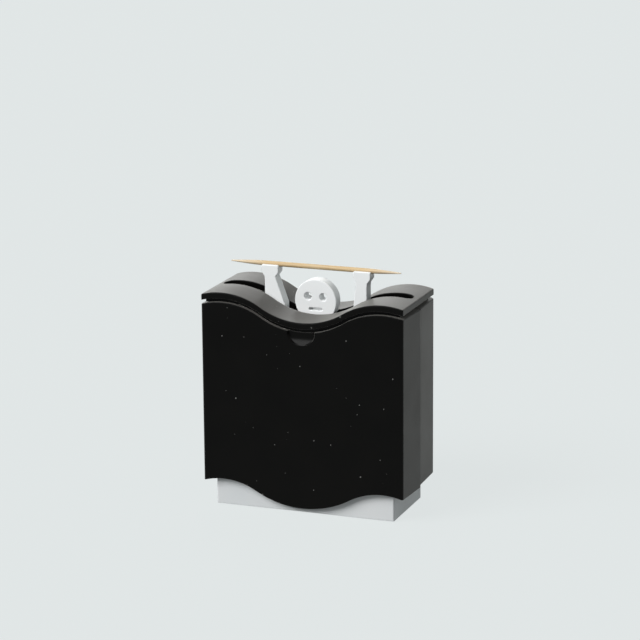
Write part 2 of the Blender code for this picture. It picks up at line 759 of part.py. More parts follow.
def make_figure():
    """Flat lifter cut as a head between two raised arms, with a groove over the fists for the toothpick."""
    neck = NECK_WIDTH / 2
    neck_angle = math.degrees(math.acos(neck / HEAD_RADIUS))
    valley = head_centre - HEAD_RADIUS - NECK_LENGTH
    head = arc(0, head_centre, HEAD_RADIUS, -neck_angle, 180 + neck_angle, HEAD_STEPS)
    right = arm_outline(RIGHT_ARM_FLARE_SHARE) + [(neck, valley)]
    left = mirrored(arm_outline(LEFT_ARM_FLARE_SHARE) + [(neck, valley)])
    figure = eased(slab("figure", [right + head + left], FIGURE_THICKNESS, FACING_FRONT), FIGURE_EDGE)

    bottom = plate_top + SEAT_GAP
    foot = block(
        "figure_foot",
        (-arm_outer_x + FOOT_INSET, -FOOT_DEPTH / 2, bottom),
        (arm_outer_x - FOOT_INSET, FOOT_DEPTH / 2, bottom + FOOT_HEIGHT),
    )
    join(figure, foot)

    groove_reach = figure_half + OVERRUN
    groove = rod("fist_groove", TOOTHPICK_RADIUS + SEAT_GAP, -groove_reach, groove_reach)
    groove.matrix_world = FACING_SIDE
    groove.location = (0, 0, toothpick_z)
    cut(figure, groove)

    for hand in (-1, 1):
        eye = rod("eye_hole", EYE_RADIUS, -FIGURE_THICKNESS, FIGURE_THICKNESS)
        eye.matrix_world = FACING_FRONT
        eye.location = (hand * EYE_SPREAD / 2, 0, head_centre + EYE_RAISE)
        cut(figure, eye)
        hole_radius = SCREW_RADIUS + SEAT_GAP
        place = (hand * figure_screw_x, 0)
        cut(figure, rod("screw_hole", hole_radius, bottom - OVERRUN, screw_hole_top, place, SMALL_SIDES))
    mouth = slab(
        "mouth_slot",
        [stadium(MOUTH_WIDTH, MOUTH_HEIGHT)],
        2 * FIGURE_THICKNESS,
        FACING_FRONT,
        (0, 0, head_centre - MOUTH_DROP),
    )
    cut(figure, mouth)
    return finish(figure, WHITE)


def make_toothpick():
    """Round toothpick with a long point at each end."""
    steps = range(CORNER_STEPS * 2 + 1)
    shares = [step / (CORNER_STEPS * 2) for step in steps]
    thickening = TOOTHPICK_RADIUS - TOOTHPICK_POINT_RADIUS
    point = [
        (
            TOOTHPICK_POINT_RADIUS + thickening * math.sin(math.pi / 2 * share),
            TOOTHPICK_LENGTH / 2 - TOOTHPICK_TAPER * share,
        )
        for share in shares
    ]
    far_point = [(radius, -height) for radius, height in reversed(point)]
    profile = [(0, TOOTHPICK_LENGTH / 2)] + point + far_point + [(0, -TOOTHPICK_LENGTH / 2)]
    toothpick = turned("toothpick", profile, SMALL_SIDES)
    toothpick.rotation_euler = (0, math.radians(90), 0)
    toothpick.location = (TOOTHPICK_SHIFT, 0, toothpick_z)
    return finish(toothpick, WOOD)


hood_carrier = carrier("hood_slide_axis", (0, 0, HOOD_LOW_Z))
lid_carrier = carried(carrier("lid_lift_axis", (0, 0, LID_LOW_Z)), hood_carrier)
toothpick_carrier = carrier("toothpick_lift_axis", (TOOTHPICK_SHIFT, 0, toothpick_z))

front_shell = hood_shell("front_shell", -1, FRONT_SEAM_BULGE, 0)
add_tongues(front_shell)
add_thumb_recess(front_shell)
carried(front_shell, hood_carrier)
carried(hood_shell("rear_shell", 1, REAR_SEAM_BULGE, REAR_EDGE_RAISE), hood_carrier)
carried(make_hopper(), hood_carrier)
carried(make_lid(), lid_carrier)

make_base_box()
make_bottom_plate()
make_figure()
for hand, word in ((-1, "left"), (1, "right")):
    carried(make_guide_pin("guide_pin_" + word, hand), hood_carrier)
    make_spring("return_spring_" + word, hand)
for name, place in screw_places():
    make_screw(name, place)
for name, place in pad_places():
    finish(rod(name, PAD_RADIUS, 0, PAD_THICKNESS, place), RUBBER)
carried(make_toothpick(), toothpick_carrier)
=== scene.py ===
"""Finish of the press-down toothpick dispenser: black hood and lid, white base and lifter, one toothpick.

The frame is the construction's own: metres, +X to the right, -Y to the front, +Z up, the origin on the table
under the middle of the base. Every piece made here starts as arrays of points on a grid of two parameters,
and its object sits at the origin with its place in its mesh.
"""

import math

import bpy
import numpy as np
from mathutils import Matrix, Vector
from mathutils.geometry import tessellate_polygon


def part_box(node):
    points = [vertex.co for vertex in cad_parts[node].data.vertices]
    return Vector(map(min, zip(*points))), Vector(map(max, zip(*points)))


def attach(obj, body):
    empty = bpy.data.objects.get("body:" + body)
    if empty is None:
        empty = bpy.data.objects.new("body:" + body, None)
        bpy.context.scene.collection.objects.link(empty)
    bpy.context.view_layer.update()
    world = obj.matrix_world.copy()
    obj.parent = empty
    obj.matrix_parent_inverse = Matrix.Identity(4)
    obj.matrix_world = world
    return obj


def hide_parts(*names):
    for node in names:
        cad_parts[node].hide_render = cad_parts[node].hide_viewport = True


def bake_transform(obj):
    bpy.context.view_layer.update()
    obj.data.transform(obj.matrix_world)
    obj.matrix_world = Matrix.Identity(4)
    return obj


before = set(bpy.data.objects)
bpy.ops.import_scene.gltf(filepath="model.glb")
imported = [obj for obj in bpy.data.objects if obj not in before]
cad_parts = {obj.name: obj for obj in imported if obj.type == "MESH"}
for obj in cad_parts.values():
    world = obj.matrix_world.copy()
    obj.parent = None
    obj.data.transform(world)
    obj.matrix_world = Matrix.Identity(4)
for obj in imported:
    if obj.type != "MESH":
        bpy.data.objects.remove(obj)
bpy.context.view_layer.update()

# Boxes read from the construction
lid_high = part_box("lid")[1]
base_low, base_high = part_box("base_box")
figure_low, figure_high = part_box("figure")
pick_low, pick_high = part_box("toothpick")

# Hood: wall, seam, edges and waves, in metres
HOOD_WALL = 0.002
CORNER_RADIUS = 0.001
INNER_CORNER_RADIUS = 0.0005
EDGE_RADIUS = 0.00025
SEAM_EDGE_RADIUS = 0.0004
SEAM_Y = 0.0005
SEAM_GAP = 0.0003
FRONT_SEAM_BULGE = 0.0007
REAR_SEAM_BULGE = 0.0004
REAR_EDGE_RAISE = 0.0005
WAVE_REACH = 0.0305
TOP_WAVE_RISE = 0.0088
TOP_VALLEY_SHARE = 0.515
HOOD_LOW_Z = 0.0023
BOTTOM_WAVE_RISE = 0.0082
BOTTOM_VALLEY_SHARE = 0.588

# Hood: what its shells carry inside
SEAT_GAP = 0.0003
SLIDE_GAP = 0.0004
TRAVEL = 0.028
LEDGE_PROUD = 0.0012
LEDGE_HEIGHT = 0.002
LEDGE_RAISE = 0.0046
LEDGE_LENGTH_SHARE = 0.78
STOP_WIDTH = 0.011
HOOD_STOP_HEIGHT = 0.004
TONGUE_REACH = 0.004
TONGUE_THICKNESS = 0.0012
TONGUE_HEIGHT = 0.0032
RIM_CLEARANCE = 0.0006
STEP_DRAFT = 0.00005

# Thumb recess
THUMB_WIDTH = 0.0106
THUMB_HEIGHT = 0.0088
THUMB_DROP = 0.0003
THUMB_DEPTH = 0.0013
THUMB_RAMP = 0.0024
THUMB_WALL = 0.0004
THUMB_BAND = 0.0066
THUMB_EASE = 6

# Lid
LID_THICKNESS = 0.0022
LID_EDGE = 0.0004
LID_LOWER_EDGE = 0.0002
LID_CORNER_RADIUS = 0.0007
SHADOW_GAP = 0.0014
SHADOW_INSET = 0.0014
LID_RIM_DEPTH = 0.0022
LID_RIM_WALL = 0.0012
SLOT_END_MARGIN = 0.002
SLOT_WIDTH = 0.0058
SLOT_EDGE = 0.0003
SLOT_SPLIT_ANGLE = math.radians(80)

# Base box
BASE_WALL = 0.0018
BASE_CORNER_RADIUS = 0.0006
BASE_EDGE = 0.0002
BASE_SIDE_ROOM = 0.0021
RAIL_WIDTH = 0.003
RAIL_INSET = 0.0046
RAIL_START_Z = 0.013
STOP_HEIGHT = 0.003
STOP_DROP = 0.001
BOSS_RADIUS = 0.0027
BOSS_INSET = 0.0022
BOSS_HEIGHT = 0.011
HOLE_RADIUS = 0.0014
HOLE_TOP_Z = 0.0093

# Screws, pads and springs
SCREW_RADIUS = 0.0011
SCREW_HEAD_HEIGHT = 0.0011
SCREW_HEAD_EDGE = 0.00035
SCREW_TIP = 0.0012
THREAD_PITCH = 0.0009
THREAD_DEPTH = 0.00022
DRIVE_REACH = 0.0012
DRIVE_WIDTH = 0.0003
DRIVE_DEPTH = 0.0006
DRIVE_EASE = 0.00008
PAD_EDGE = 0.00025
PAD_DISH_DEPTH = PAD_EDGE / 3
PAD_DISH_SHARES = (0.3, 0.6)
PAD_DISH_EDGE_SHARE = 0.7
SPRING_WIRE = 0.0009
SPRING_TURNS = 15
SPRING_END_PITCH = 0.0015

# Lifter
FIGURE_THICKNESS = 0.0046
FIGURE_EDGE = 0.00028
FIST_WIDTH = 0.0065
FIST_HEIGHT = 0.0042
FIST_TAPER = 0.0016
FIST_ROUND = 0.0005
WRIST_WIDTH = 0.0042
ARM_INSET = 0.0013
LEFT_ARM_FLARE_SHARE = 0.477
RIGHT_ARM_FLARE_SHARE = 0.159
ARM_LENGTH = 0.0098
HEAD_RADIUS = 0.0079
HEAD_DROP = 0.012
NECK_WIDTH = 0.0064
NECK_LENGTH = 0.0012
FOOT_HEIGHT = 0.004
FOOT_INSET = 0.0005
FIGURE_SCREW_INSET = 0.0075
EYE_RADIUS = 0.0014
EYE_SPREAD = 0.0058
EYE_RAISE = 0.0016
MOUTH_WIDTH = 0.0052
MOUTH_HEIGHT = 0.001
MOUTH_DROP = 0.003

# Toothpick
PICK_TAPER = 0.014
PICK_POINT_RADIUS = 0.0002
PICK_WANDER = 0.00006
PICK_WANDER_PHASE = 5

# Camera
LENS_MM = 157.01
CAMERA_PLACE = (0.34412, -0.91188, 0.31363)
CAMERA_TARGET = (0.0008, 0.0, 0.06834)
CAMERA_ROLL = -0.4314
CLIP_START = 0.05
CLIP_END = 50.0

# Surround and floor
AMBIENT = 0.46
BACKDROP_COLOUR = (0.76, 0.8, 0.8, 1.0)
FLOOR_REACH = 6.0
FLOOR_COLOUR = (0.22, 0.23, 0.23, 1.0)
FLOOR_GLOW = 1.16
FLOOR_GLOW_SHARE = 0.8

# Suns: azimuth, elevation and softness in degrees
KEY_SUN = {"azimuth": -36.0, "elevation": 40.0, "strength": 3.3, "softness": 35.0}
BACK_SUN = {"azimuth": -153.0, "elevation": 17.0, "strength": 0.65, "softness": 45.0}

# Fineness of shading, edges and rounds
SMOOTH_ANGLE = math.radians(35)
FLAT_NORMAL = 0.9999
EDGE_STEPS = 4
CORNER_STEPS = 8
ROUND_SIDES = 64
HOLE_SIDES = 32
PICK_SIDES = 32
WIRE_SIDES = 12
HEAD_STEPS = 96
EYE_STEPS = 40
MOUTH_STEPS = 12
THREAD_STEPS = 8
COIL_STEPS = 36

# Number of places along each stretch
STOP_PLACES = 7
SIDE_PLACES = 12
SCOOP_PLACES = 46
FACE_PLACES = 24
FACE_END_PLACES = 9
WALL_PLACES = 50
INSIDE_PLACES = 8
RIB_GAP_PLACES = 10
LID_PLACES = 97
STRAIGHT_PLACES = 25
BASE_END_PLACES = 7
POINT_PLACES = 40
PICK_PLACES = 30
SCREW_FACE_PLACES = 20
SCREW_TIP_PLACES = 12
LID_CROSS_SHARES = (0, 0.03, 0.12, 0.3, 0.5, 0.7, 0.88, 0.97, 1.0)

# What a point of the hood's section stands out with
NO_RIB, LEDGE_RIB, STOP_RIB = range(3)

# Sizes that follow from the boxes
hood_half = lid_high.x
hood_half_depth = lid_high.y
hood_inner_half = hood_half - HOOD_WALL
hood_inner_half_depth = hood_half_depth - HOOD_WALL
lid_low_z = lid_high.z - TOP_WAVE_RISE
hood_top_drop = LID_THICKNESS + SHADOW_GAP
hood_top_low = lid_low_z - hood_top_drop
base_half = hood_inner_half - BASE_SIDE_ROOM
base_half_depth = base_high.y
base_inner_half = base_half - BASE_WALL
base_inner_half_depth = base_half_depth - BASE_WALL
base_stop_top = base_high.z - STOP_DROP
base_stop_bottom = base_stop_top - STOP_HEIGHT
hood_stop_top = base_stop_bottom - SEAT_GAP - TRAVEL
ledge_bottom = base_high.z + LEDGE_RAISE
ledge_top = ledge_bottom + LEDGE_HEIGHT
rail_y = base_half_depth - RAIL_INSET
plate_top_z = figure_low.z - SEAT_GAP


def grid_faces(rows, columns, close_rows=False, close_columns=True):
    """Quads between neighbouring points of a grid, whose points are counted row by row."""
    down = np.arange(rows if close_rows else rows - 1)
    along = np.arange(columns if close_columns else columns - 1)
    row, column = (index.ravel() for index in np.meshgrid(down, along, indexing="ij"))
    below = (row + 1) % rows
    beside = (column + 1) % columns
    corners = ((row, column), (row, beside), (below, beside), (below, column))
    return np.stack([at_row * columns + at_column for at_row, at_column in corners], axis=1)


def facing_out(points, *faces):
    """Closed surface with its faces pointing out. Six times its volume is the sum of a . (b x c) over the
    triangles a, b, c of its faces, and where that is negative every face is reversed."""
    volume = 0.0
    for group in faces:
        first = points[group[:, 0]]
        for corner in range(1, group.shape[1] - 1):
            turn = np.cross(points[group[:, corner]], points[group[:, corner + 1]])
            volume += np.einsum("ij,ij->", first, turn)
    return points, [group if volume > 0 else group[:, ::-1] for group in faces]


def ring_surface(grid):
    """Surface of a grid that closes on itself both ways, like a bent tube whose ends meet."""
    rows, columns = grid.shape[:2]
    return facing_out(grid.reshape(-1, 3), grid_faces(rows, columns, close_rows=True))


def bar_surface(grid):
    """Surface of a closed section carried along a path, one row a step, with a flat face at either end."""
    rows, columns = grid.shape[:2]
    around = np.arange(columns)[None, :]
    ends = (around[:, ::-1], around + (rows - 1) * columns)
    return facing_out(grid.reshape(-1, 3), grid_faces(rows, columns), *ends)


def pole_surface(grid, start, end):
    """Surface of a grid of rings drawn together to a single point at either end."""
    rows, columns = grid.shape[:2]
    points = np.concatenate([grid.reshape(-1, 3), [start, end]])
    around = np.arange(columns)
    beside = (around + 1) % columns
    last = (rows - 1) * columns
    start_fan = np.stack([np.full(columns, rows * columns), beside, around], axis=1)
    end_fan = np.stack([np.full(columns, rows * columns + 1), last + around, last + beside], axis=1)
    return facing_out(points, grid_faces(rows, columns), start_fan, end_fan)


def ring_angles(sides):
    """Angles of the points of a ring."""
    return np.arange(sides) * (math.tau / sides)


def turned_surface(profile, place, sides=ROUND_SIDES):
    """Profile of (radius, height) turned about an upright axis: a point at angle a is
    (x + r cos a, y + r sin a, z). The first and the last height are the poles, on the axis."""
    angles = ring_angles(sides)
    radius, height = np.array(profile[1:-1]).T
    across = radius[:, None] * np.cos(angles) + place[0]
    along = radius[:, None] * np.sin(angles) + place[1]
    rings = np.stack([across, along, np.repeat(height[:, None], sides, axis=1)], axis=-1)
    return pole_surface(rings, (*place, profile[0][1]), (*place, profile[-1][1]))


def quarter(radius):
    """Offsets of a quarter round's points, from the face and from the edge."""
    sweep = np.radians(np.linspace(0, 90, EDGE_STEPS + 1))
    return radius * (1 - np.sin(sweep)), radius * (1 - np.cos(sweep))


def quarter_points(radius):
    """The same offsets as one pair for each point."""
    return list(zip(*quarter(radius)))


def spread(*stretches):
    """Rising places along a line from stretches of (start, end, count) that may share their ends."""
    places = np.concatenate([np.linspace(*stretch) for stretch in stretches])
    return np.unique(np.round(places, 8))


def eased(share):
    """Share from 0 to 1, eased in and out: three times its square less twice its cube."""
    return share * share * (3 - 2 * share)


def mesh_of(name, surfaces):
    """One mesh from closed surfaces, smooth over its gentle turns."""
    firsts = np.cumsum([0] + [len(points) for points, _ in surfaces])
    points = np.concatenate([points for points, _ in surfaces])
    groups = [group + first for first, (_, faces) in zip(firsts, surfaces) for group in faces]
    corners = np.concatenate([group.ravel() for group in groups])
    sizes = np.concatenate([np.full(len(group), group.shape[1]) for group in groups])
    mesh = bpy.data.meshes.new(name)
    mesh.vertices.add(len(points))
    mesh.vertices.foreach_set("co", points.astype(np.float32).ravel())
    mesh.loops.add(len(corners))
    mesh.loops.foreach_set("vertex_index", corners.astype(np.int32))
    mesh.polygons.add(len(sizes))
    mesh.polygons.foreach_set("loop_start", (np.cumsum(sizes) - sizes).astype(np.int32))
    mesh.update(calc_edges=True)
    mesh.shade_smooth()
    mesh.set_sharp_from_angle(angle=SMOOTH_ANGLE)
    return mesh


def made(name, surfaces):
    """New object at the origin whose mesh is made of closed surfaces."""
    body = bpy.data.objects.new(name, mesh_of(name, surfaces))
    bpy.context.scene.collection.objects.link(body)
    return body


def fitted(piece, body, slot, finish, *nodes):
    """Put a piece on its body, with its finish, in place of construction nodes; the slot argument is not
    used.
    Shading at each corner follows the larger face, so that wide faces stay flat up to their rounded edges."""
    piece.data.materials.append(finish)
    shading = piece.modifiers.new("flat_wide_faces", "WEIGHTED_NORMAL")
    shading.keep_sharp = True
    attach(piece, body)
    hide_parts(*nodes)
    return piece


# Finishes


class Finish:
    """A material with its Principled shader, and short ways to add what feeds it."""

    def __init__(self, name, **values):
        self.material = bpy.data.materials.new(name)
        self.material.use_nodes = True
        self.tree = self.material.node_tree
        self.shader = self.tree.nodes["Principled BSDF"]
        self.place = self.tree.nodes.new("ShaderNodeTexCoord").outputs["Object"]
        for socket, value in values.items():
            self.shader.inputs[socket.replace("_", " ")].default_value = value

    def add(self, kind, settings=None, **inputs):
        """New node with its settings and inputs, each input a value or another node's output. An input is
        named after its socket, or n and the socket's number."""
        node = self.tree.nodes.new(kind)
        for key, value in (settings or {}).items():
            setattr(node, key, value)
        for key, value in inputs.items():
            numbered = key[0] == "n" and key[1:].isdigit()
            socket = node.inputs[int(key[1:]) if numbered else key.replace("_", " ")]
            if isinstance(value, bpy.types.NodeSocket):
                self.tree.links.new(value, socket)
            else:
                socket.default_value = value
        return node

    def noise(self, scale, detail=2.0, stretch=None):
        """Cloudy pattern from 0 to 1, as fine as its scale, in turns to the metre."""
        place = self.place
        if stretch is not None:
            place = self.add("ShaderNodeMapping", Vector=place, Scale=stretch).outputs["Vector"]
        pattern = self.add("ShaderNodeTexNoise", Vector=place, Scale=scale, Detail=detail)
        return pattern.outputs["Fac"]

    def between(self, share, low, high, start=0.0, end=1.0):
        """Value that goes from low to high while the share goes from start to end."""
        node = self.add(
            "ShaderNodeMapRange",
            Value=share, From_Min=start, From_Max=end, To_Min=low, To_Max=high,
        )
        return node.outputs["Result"]

    def tint(self, share, *stops):
        """Colour along stops of (share, colour)."""
        ramp = self.add("ShaderNodeValToRGB", Fac=share)
        while len(ramp.color_ramp.elements) < len(stops):
            ramp.color_ramp.elements.new(0.5)
        for element, (position, colour) in zip(ramp.color_ramp.elements, stops):
            element.position = position
            element.color = (*colour, 1.0)
        return ramp.outputs["Color"]

    def blend(self, share, low, high):
        """Mix of two colours."""
        node = self.add("ShaderNodeMix", {"data_type": "RGBA"}, n0=share, n6=low, n7=high)
        return node.outputs[2]

    def feed(self, socket, value):
        """Let another node's output drive one of the shader's inputs."""
        self.tree.links.new(value, self.shader.inputs[socket])

    def relief(self, height, strength, distance):
        """Fine bumps of the surface, from a pattern of heights."""
        bump = self.add("ShaderNodeBump", Height=height, Strength=strength, Distance=distance)
        self.feed("Normal", bump.outputs["Normal"])


def black_plastic():
    """Satin black moulding: fine spark-eroded grain, faint cloudy gloss and a few specks of dust. The random
    colour of a cell sets the size of its speck, and a cell whose size comes out below zero has none."""
    darker = (0.0004, 0.0004, 0.0003)
    lighter = (0.0009, 0.0008, 0.0006)
    dust = (0.12, 0.12, 0.115, 1.0)
    finish = Finish(
        "satin_black_plastic", IOR=1.5, Specular_IOR_Level=0.07,
        Sheen_Weight=0.9, Sheen_Roughness=0.32, Sheen_Tint=(1.0, 0.96, 0.9, 1.0),
    )
    clouds = finish.noise(scale=70.0, detail=3.0)
    base = finish.tint(clouds, (0.3, darker), (0.7, lighter))
    cells = finish.add("ShaderNodeTexVoronoi", {"feature": "F1"}, Vector=finish.place, Scale=400.0)
    size = finish.between(cells.outputs["Color"], low=-0.32, high=0.14)
    speck = finish.add("ShaderNodeMath", {"operation": "LESS_THAN"}, n0=cells.outputs["Distance"], n1=size)
    finish.feed("Base Color", finish.blend(speck.outputs["Value"], base, dust))
    finish.feed("Roughness", finish.between(clouds, low=0.33, high=0.41, start=0.3, end=0.7))
    finish.relief(finish.noise(scale=4200.0, detail=3.0), strength=0.25, distance=0.00002)
    return finish.material


def white_plastic(name, cool, warm):
    """Satin white moulding that drifts between a cooler and a warmer shade, with a very fine grain."""
    finish = Finish(name, IOR=1.5, Specular_IOR_Level=0.4)
    clouds = finish.noise(scale=55.0, detail=3.0)
    finish.feed("Base Color", finish.tint(clouds, (0.3, cool), (0.7, warm)))
    finish.feed("Roughness", finish.between(clouds, low=0.36, high=0.44, start=0.3, end=0.7))
    finish.relief(finish.noise(scale=3600.0, detail=2.0), strength=0.15, distance=0.00002)
    return finish.material


def drawn_steel(name, mark_stretch):
    """Bright steel with fine drawing marks."""
    darker = (0.42, 0.42, 0.43)
    lighter = (0.6, 0.6, 0.61)
    finish = Finish(name, Metallic=1.0)
    marks = finish.noise(scale=1.0, detail=4.0, stretch=mark_stretch)
    finish.feed("Base Color", finish.tint(marks, (0.25, darker), (0.75, lighter)))
    finish.feed("Roughness", finish.between(marks, low=0.2, high=0.36, start=0.25, end=0.75))
    finish.relief(marks, strength=0.2, distance=0.00001)
    return finish.material


def pad_rubber():
    """Matt black rubber with a coarse moulded grain."""
    darker = (0.022, 0.022, 0.023)
    lighter = (0.04, 0.04, 0.041)
    finish = Finish("pad_rubber", IOR=1.5, Specular_IOR_Level=0.3)
    grain = finish.noise(scale=2600.0, detail=3.0)
    finish.feed("Base Color", finish.tint(grain, (0.3, darker), (0.7, lighter)))
    finish.feed("Roughness", finish.between(grain, low=0.75, high=0.92, start=0.3, end=0.7))
    finish.relief(grain, strength=0.5, distance=0.00005)
    return finish.material


def birch_wood():
    """Pale wood whose grain runs along the toothpick and which is lighter towards both points."""
    dark_grain = (0.44, 0.28, 0.13)
    middle_grain = (0.58, 0.41, 0.22)
    pale_grain = (0.68, 0.53, 0.32)
    patch = (0.64, 0.51, 0.33, 1.0)
    sanded = (0.74, 0.64, 0.5, 1.0)
    finish = Finish("birch_wood", IOR=1.5, Specular_IOR_Level=0.25)
    grain = finish.noise(scale=1.0, detail=5.0, stretch=(60.0, 2600.0, 2600.0))
    drift = finish.noise(scale=1.0, detail=2.0, stretch=(110.0, 300.0, 300.0))
    streaks = finish.tint(grain, (0.32, dark_grain), (0.5, middle_grain), (0.72, pale_grain))
    patchy = finish.between(drift, low=0.0, high=0.5, start=0.35, end=0.7)
    warm = finish.blend(patchy, streaks, patch)
    along = finish.add("ShaderNodeSeparateXYZ", Vector=finish.place).outputs["X"]
    middle = (pick_low.x + pick_high.x) / 2
    away = finish.add("ShaderNodeMath", {"operation": "SUBTRACT"}, n0=along, n1=middle).outputs["Value"]
    away = finish.add("ShaderNodeMath", {"operation": "ABSOLUTE"}, n0=away).outputs["Value"]
    reach = (pick_high.x - pick_low.x) / 2
    pale = finish.between(away, low=0.0, high=0.75, start=reach - PICK_TAPER, end=reach)
    finish.feed("Base Color", finish.blend(pale, warm, sanded))
    finish.feed("Roughness", finish.between(grain, low=0.55, high=0.75, start=0.3, end=0.7))
    finish.relief(grain, strength=0.4, distance=0.00004)
    return finish.material


BLACK = black_plastic()
LIFTER_WHITE = white_plastic("lifter_white_plastic", cool=(0.82, 0.835, 0.84), warm=(0.85, 0.86, 0.86))
# The base's white is greyer than the lifter's white. This is painted shade that stands in for the shade under
# the hood, not a different plastic.
BASE_WHITE_PAINTED_SHADE = white_plastic("base_white_plastic_painted_shade", cool=(0.6, 0.62, 0.63), warm=(0.63, 0.64, 0.645))
SPRING_STEEL = drawn_steel("spring_steel", (1500.0, 1500.0, 1500.0))
SCREW_STEEL = drawn_steel("zinc_plated_steel", (900.0, 900.0, 2600.0))
PIN_STEEL = drawn_steel("pin_steel", (3000.0, 3000.0, 90.0))
RUBBER = pad_rubber()
WOOD = birch_wood()


# Hood and lid


def wave(x, low, rise, valley_share):
    """Height at x of a valley arc between two hump arcs that meet it in line. The two radii together are
    (reach^2 + rise^2) / (2 rise), and the valley takes its share of them."""
    both = (WAVE_REACH**2 + rise**2) / (2 * rise)
    valley = both * valley_share
    hump = both - valley
    in_valley = low + valley - np.sqrt(np.maximum(valley**2 - x**2, 0))
    over_hump = low + rise - hump + np.sqrt(np.maximum(hump**2 - (np.abs(x) - WAVE_REACH) ** 2, 0))
    return np.where(np.abs(x) < WAVE_REACH * valley_share, in_valley, over_hump)


def lid_top(x):
    """Height of the lid's top face at x."""
    return wave(x, lid_low_z, TOP_WAVE_RISE, TOP_VALLEY_SHARE)


def shell_plan(side, bulge):
    """Plan of half the hood as a path from seam to seam: its outer points, the way into the wall and the
    wall's thickness there. Each side runs straight from the wider seam to a corner arc, and the face lies
    between the corners."""
    seam = side * SEAM_Y + SEAM_GAP / 2
    corner_y = hood_half_depth - CORNER_RADIUS
    inner_corner_y = hood_inner_half_depth - INNER_CORNER_RADIUS
    length = corner_y - seam
    drawn_in, from_seam = quarter(SEAM_EDGE_RADIUS)
    stop_end = STOP_WIDTH / 2 - seam
    run = spread(
        (SEAM_EDGE_RADIUS, stop_end, STOP_PLACES),
        (stop_end + STEP_DRAFT, length, SIDE_PLACES),
    )[1:]
    inset = np.concatenate([drawn_in, np.zeros(len(run))])
    share = np.concatenate([from_seam, run]) / length
    outer_side = np.stack([hood_half + bulge * (1 - share), seam + share * length], axis=1)
    inner_x = hood_inner_half + (hood_half + bulge - HOOD_WALL - hood_inner_half) * (1 - share)
    inner_side = np.stack([inner_x, seam + share * (inner_corner_y - seam)], axis=1)

    angles = np.linspace(0, math.pi / 2, CORNER_STEPS + 1)[1:]
    around = np.stack([np.cos(angles), np.sin(angles)], axis=1)
    outer_corner = (hood_half - CORNER_RADIUS, corner_y) + CORNER_RADIUS * around
    inner_corner = (hood_inner_half - INNER_CORNER_RADIUS, inner_corner_y) + INNER_CORNER_RADIUS * around

    half = hood_half - CORNER_RADIUS
    narrowing = (hood_inner_half - INNER_CORNER_RADIUS) / half
    ledge_end = hood_half * LEDGE_LENGTH_SHARE / narrowing
    scoop = THUMB_WIDTH / 2 + EDGE_RADIUS
    face_x = spread(
        (0, scoop, SCOOP_PLACES),
        (scoop, ledge_end, FACE_PLACES),
        (ledge_end + STEP_DRAFT, half, FACE_END_PLACES),
    )
    face_x = np.concatenate([face_x[::-1], -face_x[1:]])[1:]
    outer_face = np.stack([face_x, np.full(len(face_x), hood_half_depth)], axis=1)
    inner_face = np.stack([face_x * narrowing, np.full(len(face_x), hood_inner_half_depth)], axis=1)

    def whole(edge, corner, face):
        mirrored = np.concatenate([edge, corner])[::-1] * (-1, 1)
        return np.concatenate([edge, corner, face[:-1], mirrored]) * (1, side)

    outer = whole(outer_side, outer_corner, outer_face)
    inner = whole(inner_side, inner_corner, inner_face)
    depth = np.zeros(len(outer))
    depth[: len(inset)] = inset
    depth[-len(inset) :] = inset[::-1]
    thickness = np.linalg.norm(inner - outer, axis=1)
    inward = (inner - outer) / thickness[:, None]
    return outer + inward * depth[:, None], inward, thickness - 2 * depth


def shell_section():
    """Section of a shell's wall, up its outside and down its inside. Each point is a share of the wall's
    thickness and an offset from it, then the shares of the bottom and top wave and an offset that give its
    height, and last which rib it stands out with."""
    rows = []

    def add(share, offset, bottom, top, height, rib=NO_RIB):
        values = (np.atleast_1d(value) for value in (share, offset, bottom, top, height, rib))
        columns = np.broadcast_arrays(*values)
        rows.append(np.stack([column.astype(float) for column in columns], axis=1))

    inset, from_edge = quarter(EDGE_RADIUS)
    add(0, inset, 1, 0, from_edge)
    rise = np.linspace(0, 1, WALL_PLACES)[1:]
    add(0, 0, 1 - rise, rise, EDGE_RADIUS * (1 - rise) - THUMB_BAND * rise)
    add(0, 0, 0, 1, np.linspace(-THUMB_BAND, -EDGE_RADIUS, SCOOP_PLACES)[1:])
    add(0, inset[::-1][1:], 0, 1, -from_edge[::-1][1:])

    add(1, -inset, 0, 1, -from_edge)
    fall = np.linspace(0, 1, INSIDE_PLACES)[1:-1]
    add(1, 0, 0, 1 - fall, -EDGE_RADIUS * (1 - fall) + (ledge_top + STEP_DRAFT) * fall)
    ribs = ((ledge_top, LEDGE_HEIGHT, LEDGE_RIB), (hood_stop_top, HOOD_STOP_HEIGHT, STOP_RIB))
    for top, height, rib in ribs:
        add(1, 0, 0, 0, top + STEP_DRAFT)
        add(1, 0, 0, 0, (top, top - height), rib)
        add(1, 0, 0, 0, top - height - STEP_DRAFT)
        if rib == LEDGE_RIB:
            below = (top - height - STEP_DRAFT, hood_stop_top + STEP_DRAFT)
            add(1, 0, 0, 0, np.linspace(*below, RIB_GAP_PLACES)[1:-1])
    low = hood_stop_top - HOOD_STOP_HEIGHT - STEP_DRAFT
    add(1, 0, fall, 0, low * (1 - fall) + EDGE_RADIUS * fall)
    add(1, -inset[::-1], 1, 0, from_edge[::-1])
    return np.concatenate(rows).T


def thumb_scoop(x, z):
    """Depth of the recess. Its floor goes in evenly from the lowest point up, and eases off where it nears
    the full depth. A narrow wall meets the face round the lower half of an ellipse and up from its ends."""
    middle = hood_top_low - THUMB_DROP
    reach = THUMB_HEIGHT / 2
    up = np.maximum(z - middle + reach, 0) / THUMB_RAMP
    down = np.maximum(middle - z, 0) / reach
    across = x / (THUMB_WIDTH / 2)
    wall = np.clip((1 - np.hypot(across, down)) * reach / THUMB_WALL, 0, 1)
    return THUMB_DEPTH * up / (1 + up**THUMB_EASE) ** (1 / THUMB_EASE) * eased(wall)


